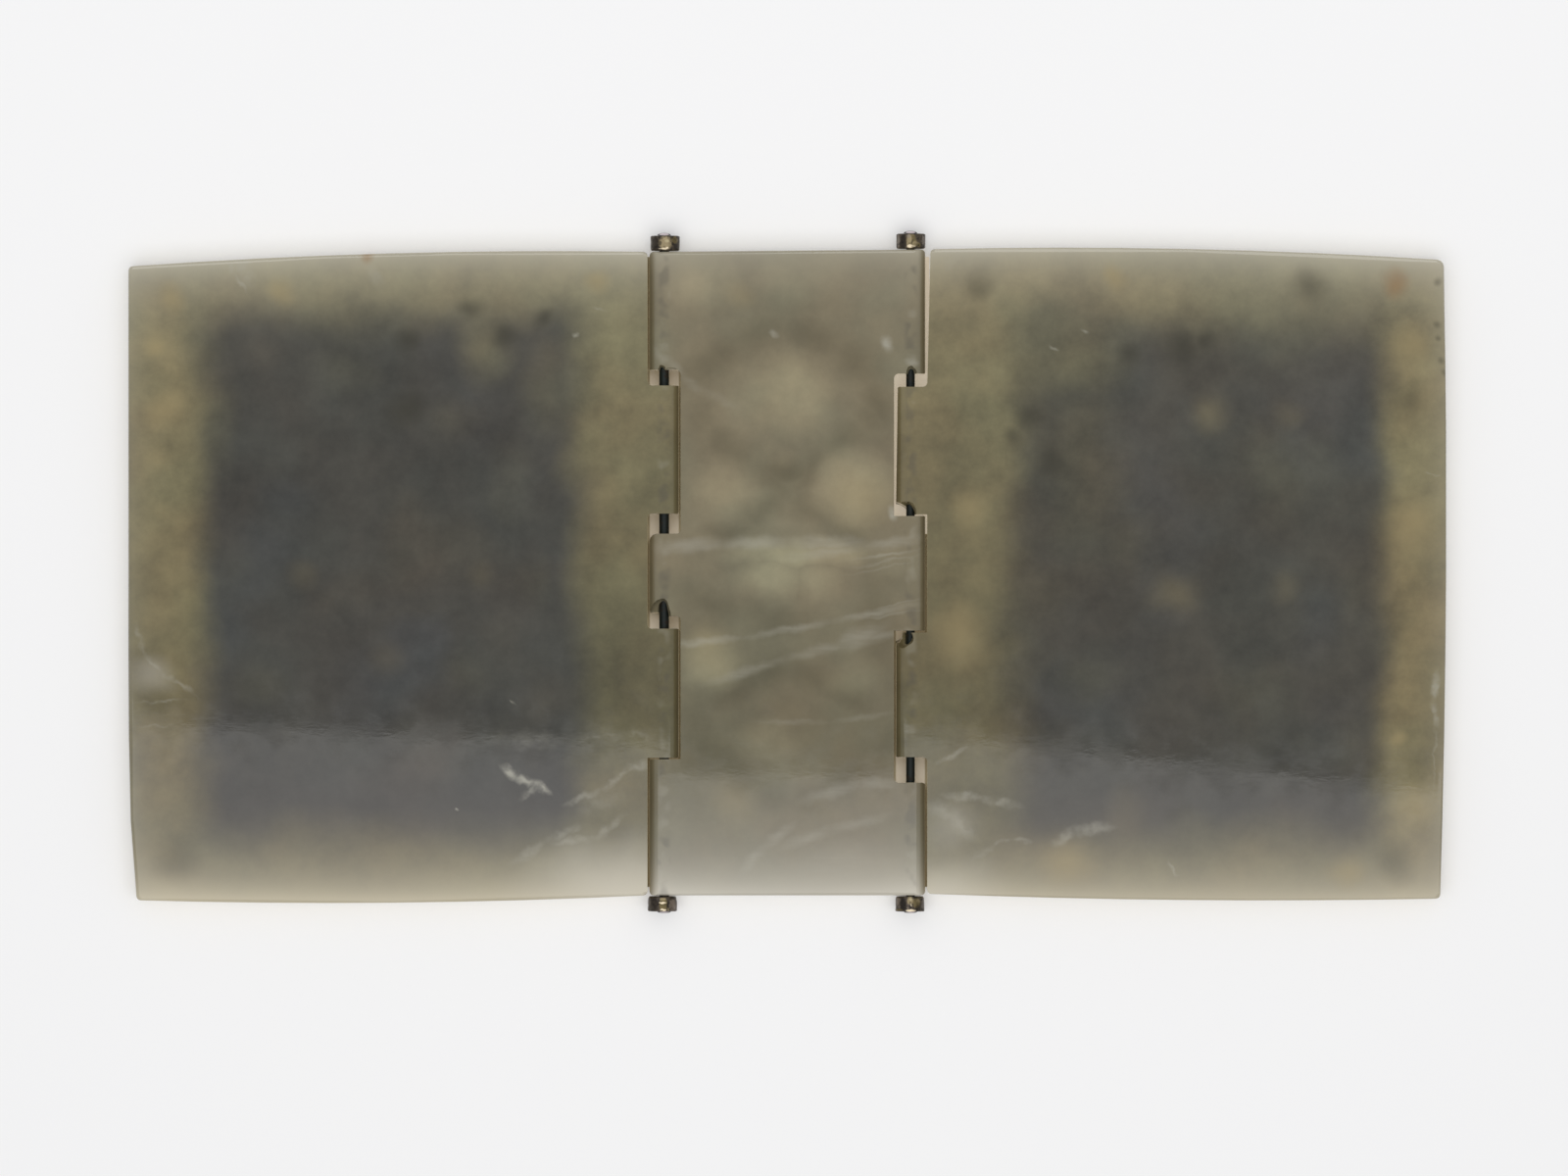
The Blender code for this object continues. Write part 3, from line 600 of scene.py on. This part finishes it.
def spine_inner_material():
    tree = Tree("spine_jade")
    head, tail = spine_edges(tree)
    drift = tree.drift(9.0)
    soft_place = tree.bent(drift, 1.1)
    vein_place = tree.bent(tree.drift(2.6, shift=(9.0, 4.0, 2.0)), 0.4)

    lower = tree.smooth(tree.y, 5.0, -20.0)
    colour = tree.mix(tree.math("MULTIPLY", lower, 0.5), SPINE_BODY, SPINE_DARK)
    shades = tree.most(tree.stroke(soft_place, *shade) for shade in SPINE_SHADES)
    colour = tree.mix(shades, colour, SPINE_DARK)
    ovals = tree.most(
        tree.math("MULTIPLY", tree.blot(soft_place, centre, half, core=0.2), strength)
        for centre, half, strength in SPINE_OVALS
    )
    colour = tree.mix(ovals, colour, SPINE_LIGHT)
    colour = mottled(tree, colour, share=0.4)
    glints = tree.most(tree.disc(soft_place, centre, radius) for centre, radius in SPINE_YELLOW)
    colour = tree.mix(tree.math("MULTIPLY", glints, 0.22), colour, YELLOW)
    colour = glowing(tree, colour, head, HEAD_GLOW, strength=0.6, length=4.0)
    colour = glowing(tree, colour, tail, MILKY, strength=0.95, length=5.5)

    turn = (0.0, 0.0, GRAIN_TURN)
    values = {"Vector": tree.place, "Rotation": turn, "Scale": GRAIN_STRETCH}
    grained = tree.node("ShaderNodeMapping", values, vector_type="POINT").outputs[0]
    threads = tree.smooth(tree.noise(1.2, place=grained), 0.3, 0.65, low=0.5, high=0.85)
    veins = tree.most(tree.stroke(vein_place, *vein) for vein in SPINE_STROKES)
    colour = tree.mix(tree.math("MULTIPLY", veins, threads), colour, WHITE)
    for hinge, axis in HINGES.items():
        colour = at_hinge(tree, colour, hinge, math.copysign(1, axis))
    return finish_stone(tree, colour, tilt=-0.0028)


# Sizes of the outer faces' decoration, in millimetres. A gilt line is its depth inside the edge
# and half its width.
FRAME_WIDTH = 12.0
FLOWER_PITCH = 14.0
GILT_LINES = ((2.6, 0.2), (9.9, 0.2), (11.4, 0.35))
LINE_BLUR = 0.08
PETALS = 4.0
PETAL_RADIUS = 1.7
PETAL_SWING = 0.45
PETAL_BLUR = 0.12
LATTICE_HALF_WIDTH = 11.7
LATTICE_HALF_HEIGHT = 18.0
LATTICE_MIDDLE = 33.0
SPINE_FRAME = 3.0


def outer_decoration(tree, distances, facts):
    """Crisp painting on a cover's outer face: a dark field in gilt lines, set with gilt flowers."""
    low, high = facts["field"]
    hinge_side = min(abs(low[0]), abs(high[0])) - FRAME_WIDTH
    nearest = tree.math("MULTIPLY_ADD", tree.x, float(facts["side"]), -hinge_side)
    for distance in distances:
        nearest = tree.math("MINIMUM", nearest, distance)
    field = tree.smooth(nearest, FRAME_WIDTH, FRAME_WIDTH + 0.2)
    lines = []
    for depth, half in GILT_LINES:
        off = tree.math("ABSOLUTE", tree.math("SUBTRACT", nearest, depth))
        lines.append(tree.smooth(off, half + LINE_BLUR, half - LINE_BLUR))
    middle_x, middle_y = (low[0] + high[0]) / 2, (low[1] + high[1]) / 2
    row = tree.math("PINGPONG", tree.math("SUBTRACT", tree.y, middle_y), FLOWER_PITCH / 2)
    column = tree.math("PINGPONG", tree.math("SUBTRACT", tree.x, middle_x), FLOWER_PITCH / 2)
    square = tree.math("MULTIPLY_ADD", row, row, tree.math("MULTIPLY", column, column))
    far = tree.math("SQRT", square)
    angle = tree.math("ARCTAN2", row, column)
    wave = tree.math("COSINE", tree.math("MULTIPLY", angle, PETALS))
    petals = tree.math("MULTIPLY_ADD", wave, PETAL_SWING, PETAL_RADIUS)
    flower = tree.smooth(tree.math("SUBTRACT", far, petals), PETAL_BLUR, -PETAL_BLUR)
    lines.append(tree.math("MULTIPLY", flower, field))
    lines.append(roundels(tree, distances[0], soft=0.1))
    return field, tree.most(lines)


def gilded(tree, gilt, colour):
    """The colour with worn gilding laid over it."""
    worn = tree.smooth(tree.noise(2.4, 3.0, shift=(5.0, 9.0, 0.0)), 0.36, 0.5, low=0.45)
    return tree.mix(tree.math("MULTIPLY", gilt, worn), colour, GILT)


def cover_outer_material(node):
    tree = Tree(node + "_outer_face")
    distances = edge_distances(tree, node)
    colour = mottled(tree, COVER_OUTER, share=0.34)
    painted, gilt = outer_decoration(tree, distances, COVERS[node])
    colour = tree.mix(tree.math("MULTIPLY", painted, 0.94), colour, FIELD_PAINT)
    return finish_stone(tree, gilded(tree, gilt, colour))


def spine_outer_material():
    tree = Tree("spine_outer_face")
    nearest = tree.math("MINIMUM", *spine_edges(tree))
    above = tree.math("SUBTRACT", tree.y, LATTICE_MIDDLE)
    across = tree.math("COSINE", tree.math("MULTIPLY", tree.x, math.pi / LATTICE_HALF_WIDTH))
    along = tree.math("COSINE", tree.math("MULTIPLY", above, math.pi / LATTICE_HALF_HEIGHT))
    lattice = tree.smooth(tree.math("ABSOLUTE", tree.math("MULTIPLY", across, along)), 0.12, 0.05)
    inside = tree.smooth(nearest, SPINE_FRAME, SPINE_FRAME + 0.1)
    border = tree.math("ABSOLUTE", tree.math("SUBTRACT", nearest, SPINE_FRAME))
    lattice = tree.math("MULTIPLY", lattice, inside)
    gilt = tree.math("MAXIMUM", lattice, tree.smooth(border, 0.35, 0.2))
    return finish_stone(tree, gilded(tree, gilt, mottled(tree, SPINE_BODY, share=0.3)))


HEAD_RISE = 0.3
HIGHLIGHT_HALF = (1.05, 0.26)
METAL_BUMP = 0.03 * MM


def pin_material(node, axis):
    """Dark iron, with a painted highlight on each head."""
    tree = Tree(node + "_wire")
    rust = tree.smooth(tree.noise(1.2, 4.0), 0.5, 0.7)
    colour = tree.mix(rust, PIN_BLACK, PIN_RUST)
    ends = [vert.co.y / MM for vert in frame["nodes"][node].data.vertices]
    heads = [(axis, max(ends) - HEAD_RISE), (axis, min(ends) + HEAD_RISE)]
    # A painted highlight on each head
    painted_highlight = tree.most(tree.blot(tree.place, head, HIGHLIGHT_HALF, core=0.7) for head in heads)
    tree.put(tree.shader.inputs["Base Color"], tree.mix(painted_highlight, colour, PIN_PAINTED_HIGHLIGHT))
    tree.put(tree.shader.inputs["Metallic"], 0.3)
    tree.put(tree.shader.inputs["Specular IOR Level"], 0.3)
    tree.put(tree.shader.inputs["Roughness"], tree.smooth(rust, 0.0, 1.0, 0.45, 0.7))
    tree.put(tree.shader.inputs["Normal"], tree.bump(tree.noise(0.35, 3.0), METAL_BUMP))
    return tree.material


# Each collar. Its rings say how far in from the outer end they lie and how much they stand out. A
# mark is its offset from the axis and distance from the outer end, half sizes, metal and strength.
COLLARS = {
    "left_top_collar": {
        "rings": ((0.0, -0.30), (0.12, -0.06), (0.3, 0.0), (2.3, -0.03), (2.6, -0.08), (2.75, -0.3)),
        "dent": 0.04,
        "wider": 0.16,
        "shift": 0.18,
        "marks": (
            ((0.1, 1.3), (1.5, 1.5), "gold", 0.95),
            ((-1.9, 1.6), (0.7, 1.9), "dark_metal_and_shade", 0.6),
            ((-2.3, 0.5), (0.3, 0.5), "bronze", 0.6),
            ((0.4, 1.0), (0.5, 0.3), "pale_gold", 0.7),
            ((-0.45, 2.42), (0.9, 0.17), "cream_painted_light", 1.0),
            ((0.4, 2.25), (0.28, 0.2), "cream_painted_light", 0.9),
            ((1.8, 0.8), (0.6, 0.8), "olive", 0.9),
            ((1.43, 1.5), (0.25, 0.4), "dark_metal_and_shade", 0.9),
            ((2.1, 2.0), (0.6, 0.6), "dark_metal_and_shade", 0.8),
            ((-0.9, 1.4), (0.3, 0.5), "dark_metal_and_shade", 0.6),
        ),
    },
    "right_top_collar": {
        "rings": ((0.0, -0.26), (0.1, -0.04), (0.3, -0.02), (2.4, -0.04), (2.65, -0.1), (2.75, -0.3)),
        "dent": 0.04,
        "wider": 0.13,
        "shift": 0.06,
        "marks": (
            ((-2.3, 1.4), (0.3, 1.5), "grey", 0.8),
            ((-1.45, 1.6), (0.6, 1.8), "dark_metal_and_shade", 0.7),
            ((0.1, 1.4), (1.2, 1.6), "olive", 0.8),
            ((-0.35, 1.5), (0.6, 1.6), "gold", 0.95),
            ((-0.45, 0.5), (0.4, 0.4), "grey", 0.6),
            ((-0.15, 2.35), (0.65, 0.35), "cream_painted_light", 1.0),
            ((0.6, 2.3), (0.35, 0.2), "cream_painted_light", 0.7),
            ((0.9, 1.9), (0.8, 0.5), "gold", 0.7),
            ((1.42, 2.15), (0.5, 0.45), "olive", 0.9),
            ((1.42, 2.18), (0.2, 0.2), "dark_metal_and_shade", 1.0),
            ((1.3, 0.8), (0.6, 0.9), "bronze", 0.8),
            ((2.25, 1.2), (0.25, 1.2), "grey", 0.7),
        ),
    },
    "left_bottom_collar": {
        "rings": ((0.0, -0.24), (0.14, 0.04), (0.5, 0.08), (1.2, 0.0), (2.5, -0.08), (2.75, -0.28)),
        "dent": 0.10,
        "wider": 0.13,
        "shift": -0.32,
        "marks": (
            ((-1.7, 1.4), (1.1, 1.8), "dark_metal_and_shade", 0.6),
            ((-2.2, 1.2), (0.35, 1.0), "bronze", 0.7),
            ((0.2, 1.3), (0.9, 1.5), "olive", 0.95),
            ((0.1, 2.3), (0.7, 0.3), "gold", 0.8),
            ((0.05, 1.62), (0.75, 0.24), "cream_painted_light", 1.0),
            ((0.15, 0.28), (0.65, 0.24), "cream_painted_light", 1.0),
            ((0.95, 1.2), (0.22, 0.4), "dark_metal_and_shade", 0.8),
            ((1.9, 1.2), (0.8, 1.3), "rose", 0.9),
            ((2.0, 2.5), (0.6, 0.2), "dark_metal_and_shade", 0.9),
            ((1.1, 0.4), (0.25, 0.4), "gold", 0.8),
        ),
    },
    "right_bottom_collar": {
        "rings": ((0.0, -0.02), (0.08, 0.1), (0.4, 0.1), (0.5, -0.02), (2.4, -0.06), (2.75, -0.26)),
        "dent": 0.05,
        "wider": 0.10,
        "shift": -0.12,
        "marks": (
            ((-2.1, 1.6), (0.5, 1.2), "rose", 0.7),
            ((-1.3, 1.4), (0.65, 1.4), "dark_metal_and_shade", 0.9),
            ((0.1, 2.0), (0.75, 1.0), "gold", 0.95),
            ((0.15, 2.35), (0.3, 0.4), "pale_gold", 0.7),
            ((0.15, 1.2), (0.2, 0.3), "cream_painted_light", 0.9),
            ((-0.4, 0.9), (0.3, 0.7), "rose", 0.8),
            ((1.2, 1.6), (0.8, 1.2), "olive", 0.8),
            ((1.5, 2.0), (0.4, 0.4), "gold", 0.6),
            ((1.5, 0.8), (0.5, 0.5), "dark_metal_and_shade", 0.6),
            ((0.1, 0.18), (1.1, 0.24), "cream_painted_light", 1.0),
            ((-2.0, 0.3), (0.8, 0.2), "olive", 0.8),
        ),
    },
}
# Creamy marks are painted highlights; dark marks at a drum's sides are part dark metal, part painted
# shade
METALS = {
    "dark_metal_and_shade": (0.016, 0.012, 0.009),
    "bronze": (0.085, 0.066, 0.046),
    "olive": (0.15, 0.115, 0.045),
    "gold": (0.27, 0.215, 0.12),
    "pale_gold": (0.42, 0.36, 0.22),
    "cream_painted_light": (0.74, 0.63, 0.45),
    "grey": (0.21, 0.18, 0.15),
    "rose": (0.17, 0.135, 0.105),
}
COLLAR_SEGMENTS = 96
COLLAR_STEP = 0.08
DENTS_AROUND = 2.2
DENTS_ALONG = 0.9


def collar_material(name, axis, end, outwards):
    """Gilding worn to dark bronze in the photo's patches, with painted highlights and shade."""
    tree = Tree(name + "_gilding")
    wander = tree.bent(tree.drift(0.7), 0.10)
    patches = tree.noise(0.8, 4.0, roughness=0.65)
    colour = tree.mix(tree.smooth(patches, 0.35, 0.6), METALS["dark_metal_and_shade"], METALS["bronze"])
    chipped = tree.smooth(patches, 0.34, 0.52, low=0.35)
    # Each mark is worn gilding, a painted highlight, or at the sides partly painted shade
    for (off, inwards), half, metal, strength in COLLARS[name]["marks"]:
        centre = (axis + off, end - outwards * inwards)
        mask = tree.math("MULTIPLY", tree.blot(wander, centre, half, core=0.65), strength)
        colour = tree.mix(tree.math("MULTIPLY", mask, chipped), colour, METALS[metal])
    tree.put(tree.shader.inputs["Base Color"], colour)
    tree.put(tree.shader.inputs["Metallic"], 0.55)
    tree.put(tree.shader.inputs["Roughness"], tree.smooth(patches, 0.3, 0.7, 0.5, 0.3))
    tree.put(tree.shader.inputs["Normal"], tree.bump(tree.noise(0.4, 3.0), METAL_BUMP))
    return tree.material


def collar_profile(rings, radius, bore, length):
    """Distance from the outer end and radius of every ring of the lathed collar, in millimetres."""
    depths = np.arange(0.0, length, COLLAR_STEP)
    places, offsets = zip(*rings)
    reaches = radius + np.interp(depths, places, offsets)
    outside = [(float(depth), float(reach)) for depth, reach in zip(depths, reaches)]
    outside.append((length, radius + offsets[-1]))
    return [(0.0, bore), *outside, (length, bore)]


def add_collar(name, axis):
    """A collar lathed on its pin's axis, with a worn rim and dents that only go inwards."""
    facts = COLLARS[name]
    points = np.array([vert.co for vert in frame["nodes"][name].data.vertices]) / MM
    low, high = points.min(axis=0), points.max(axis=0)
    outwards = 1.0 if "top" in name else -1.0
    end = high[1] if outwards > 0 else low[1]
    middle_z = float(low[2] + high[2]) / 2
    radius = float(high[0] - low[0]) / 2 + facts["wider"]
    centre_x = axis + facts["shift"]
    bore = float(np.hypot(points[:, 0] - axis, points[:, 2] - middle_z).min())
    profile = collar_profile(facts["rings"], radius, bore, float(high[1] - low[1]))

    shape = bmesh.new()
    rings = []
    for inwards, reach in profile:
        ring = []
        for step in range(COLLAR_SEGMENTS):
            angle = 2 * math.pi * step / COLLAR_SEGMENTS
            across, up = math.cos(angle), math.sin(angle)
            spot = Vector((across * DENTS_AROUND, inwards * DENTS_ALONG, up * DENTS_AROUND + axis))
            dent = facts["dent"] * max(0.0, noise.noise(spot)) * 2.0 if reach > bore else 0.0
            far = min(reach, LARGEST_COLLAR_MM) - dent
            place = (centre_x + far * across, end - outwards * inwards, middle_z + far * up)
            ring.append(shape.verts.new(Vector(place) * MM))
        rings.append(ring)
    for here, there in zip(rings, rings[1:] + rings[:1]):
        for step in range(COLLAR_SEGMENTS):
            after = (step + 1) % COLLAR_SEGMENTS
            shape.faces.new((here[step], here[after], there[after], there[step]))
    bmesh.ops.recalc_face_normals(shape, faces=shape.faces)
    for face in shape.faces:
        face.smooth = True
    for edge in shape.edges:
        edge.smooth = edge.calc_face_angle(math.pi) < SHARP_ANGLE
    mesh = bpy.data.meshes.new(name + "_metal")
    mesh.materials.append(collar_material(name, centre_x, float(end), outwards))
    shape.to_mesh(mesh)
    shape.free()
    piece = bpy.data.objects.new(name + "_drum", mesh)
    bpy.context.scene.collection.objects.link(piece)
    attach(piece, "spine")
    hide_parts(name)


def board_mesh(node, materials):
    """The board's solid with each flat face in one piece. Its outer face has the last material."""
    shape = bmesh.new()
    shape.from_mesh(frame["nodes"][node].data)
    bmesh.ops.remove_doubles(shape, verts=shape.verts, dist=SAME_POINT)
    bmesh.ops.dissolve_limit(shape, angle_limit=SAME_PLANE, verts=shape.verts, edges=shape.edges)
    for face in shape.faces:
        face.material_index = 1 if face.normal.z < -FLAT else 0
        face.smooth = True
    for edge in shape.edges:
        beside_flat = any(abs(face.normal.z) > FLAT for face in edge.link_faces)
        bend = edge.calc_face_angle(math.pi)
        largest = max(face.calc_area() for face in edge.link_faces)
        ends_strip = largest > LONG_STRIP * edge.calc_length() and bend > STRIP_BEND
        edge.smooth = bend < SHARP_ANGLE and not beside_flat and not ends_strip
    mesh = bpy.data.meshes.new(node + "_stone")
    for material in materials:
        mesh.materials.append(material)
    shape.to_mesh(mesh)
    shape.free()
    return mesh


def add_board(node, body, materials):
    piece = bpy.data.objects.new(node + "_board", board_mesh(node, materials))
    bpy.context.scene.collection.objects.link(piece)
    weighted = piece.modifiers.new("even_shading", "WEIGHTED_NORMAL")
    weighted.keep_sharp = True
    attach(piece, body)
    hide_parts(node)


FLOOR_HALF = (4.0, 4.0)
FLOOR_DEPTH = 0.15 * MM
GAP_FLOOR_DEPTH = 0.1 * MM
GAP_FLOOR_HALF_WIDTH = 3.5 * MM
GAP_FLOOR_END = 58 * MM
RIGHT_GAP_OPENS = 7 * MM
# The slits beside the knuckles lie further than this from a hinge's axis, in millimetres
GAP_EDGE = 2.55


def floor_material(name, colour):
    tree = Tree(name)
    tree.put(tree.shader.inputs["Base Color"], colour)
    tree.put(tree.shader.inputs["Roughness"], 0.8)
    tree.put(tree.shader.inputs["Specular IOR Level"], 0.1)
    return tree


def narrow_gap_material(name):
    """Floor painted as lit through stone: creamy light in the open gaps, olive shade in the slits."""
    tree = floor_material(name, CREAM_PAINTED_LIGHT)
    # Painted olive shade in the slits, painted creamy light in the open gaps
    slit_shade = tree.smooth(tree.math("ABSOLUTE", tree.x), GAP_EDGE, GAP_EDGE + 0.25)
    tree.put(tree.shader.inputs["Base Color"], tree.mix(slit_shade, CREAM_PAINTED_LIGHT, SLIT_PAINTED_SHADE))
    return tree.material


def add_floor(name, centre, half, depth, material):
    mesh = bpy.data.meshes.new(name)
    signs = ((-1, -1), (1, -1), (1, 1), (-1, 1))
    corners = [(across * half[0], along * half[1], 0.0) for across, along in signs]
    mesh.from_pydata(corners, [], [(0, 1, 2, 3)])
    mesh.materials.append(material)
    floor = bpy.data.objects.new(name, mesh)
    floor.location = (*centre, -depth)
    bpy.context.scene.collection.objects.link(floor)
    return floor


def add_gap_floor(name, hinge, low, high, material):
    """A strip of floor under a hinge, from low to high along it."""
    centre = (HINGES[hinge] * MM, (low + high) / 2)
    half = (GAP_FLOOR_HALF_WIDTH, (high - low) / 2)
    return add_floor(name, centre, half, GAP_FLOOR_DEPTH, material)


SKY_STRENGTH = 0.5
CARD_HEIGHT = 1.2
CARD_SIZE = (1.6, 0.9)
TAIL_CARD_EDGE = -0.0492
HEAD_CARD_EDGE = 0.16
TAIL_CARD_RADIANCE = 1.07
HEAD_CARD_RADIANCE = 1.75
GAP_RADIANCE = 2.6


def add_light(name, centre, size, target, radiance, shadows=True, receivers=(), spared=()):
    """A soft rectangular light. radiance is how bright its face is, whatever its size.

    It lights only its receivers, if any are given, or else everything but what is spared.
    """
    light = bpy.data.lights.new(name, "AREA")
    light.use_shadow = shadows
    light.shape = "RECTANGLE"
    light.size, light.size_y = size
    light.energy = radiance * math.pi * size[0] * size[1]
    lamp = bpy.data.objects.new(name, light)
    lamp.location = centre
    lamp.rotation_euler = (Vector(centre) - Vector(target)).to_track_quat("Z", "Y").to_euler()
    lamp.visible_camera = False
    bpy.context.scene.collection.objects.link(lamp)
    if receivers or spared:
        linked = bpy.data.collections.new(name + "_receivers")
        for receiver in receivers or spared:
            linked.objects.link(receiver)
        lamp.light_linking.receiver_collection = linked
        for member in linked.collection_objects:
            member.light_linking.link_state = "EXCLUDE" if spared else "INCLUDE"


def add_lights(shaded_floors):
    """A white sky and two soft cards. The tail card's edge is mirrored across the boards."""
    world = bpy.data.worlds.new("studio")
    world.use_nodes = True
    background = world.node_tree.nodes["Background"]
    background.inputs["Color"].default_value = (1.0, 1.0, 1.0, 1.0)
    background.inputs["Strength"].default_value = SKY_STRENGTH
    bpy.context.scene.world = world
    tail_y = TAIL_CARD_EDGE - CARD_SIZE[1] / 2
    head_y = HEAD_CARD_EDGE + CARD_SIZE[1] / 2
    tail_card = (0.0, tail_y, CARD_HEIGHT), CARD_SIZE, (0.0, tail_y, 0.0)
    head_card = (0.0, head_y, CARD_HEIGHT), CARD_SIZE, (0.0, head_y, 0.0)
    add_light("tail_card", *tail_card, TAIL_CARD_RADIANCE)
    add_light("head_card", *head_card, HEAD_CARD_RADIANCE, shadows=False, spared=shaded_floors)
    add_light("head_card_in_gaps", *head_card, GAP_RADIANCE, receivers=shaded_floors)


def add_camera():
    camera = bpy.data.cameras.new("camera")
    camera.sensor_width = SENSOR_WIDTH
    camera.lens = SENSOR_WIDTH * CAMERA_HEIGHT / (PHOTO_WIDTH * PIXEL_MM * MM)
    camera.clip_end = 10.0
    seen = bpy.data.objects.new("camera", camera)
    x, y = PHOTO_CENTRE_MM
    seen.location = (x * MM, y * MM, CAMERA_HEIGHT + cad_box[1].z)
    bpy.context.scene.collection.objects.link(seen)
    bpy.context.scene.camera = seen


bpy.context.scene.view_settings.view_transform = "Standard"
add_camera()
pale = floor_material("pale_floor", FLOOR).material
add_floor("floor", (0.0, 0.0), FLOOR_HALF, FLOOR_DEPTH, pale)
narrow = narrow_gap_material("floor_in_narrow_gaps")
gap_floors = [
    add_gap_floor("left_gap_floor", "left", -GAP_FLOOR_END, GAP_FLOOR_END, narrow),
    add_gap_floor("right_gap_floor", "right", -GAP_FLOOR_END, RIGHT_GAP_OPENS, narrow),
]
# Creamy light painted on the floor in the open gaps
cream_painted_light = floor_material("floor_in_open_gaps", CREAM_PAINTED_LIGHT).material
add_gap_floor("right_open_gap_floor", "right", RIGHT_GAP_OPENS, GAP_FLOOR_END, cream_painted_light)
add_lights(gap_floors)
for cover in COVERS:
    faces = [cover_inner_material(cover), cover_outer_material(cover)]
    add_board(cover, cover, faces)
add_board("spine", "spine", [spine_inner_material(), spine_outer_material()])
for side, axis in HINGES.items():
    pin = frame["nodes"][side + "_hinge_pin"]
    pin.data.materials.clear()
    pin.data.materials.append(pin_material(pin.name, axis))
for collar in COLLARS:
    add_collar(collar, HINGES[collar.split("_")[0]])
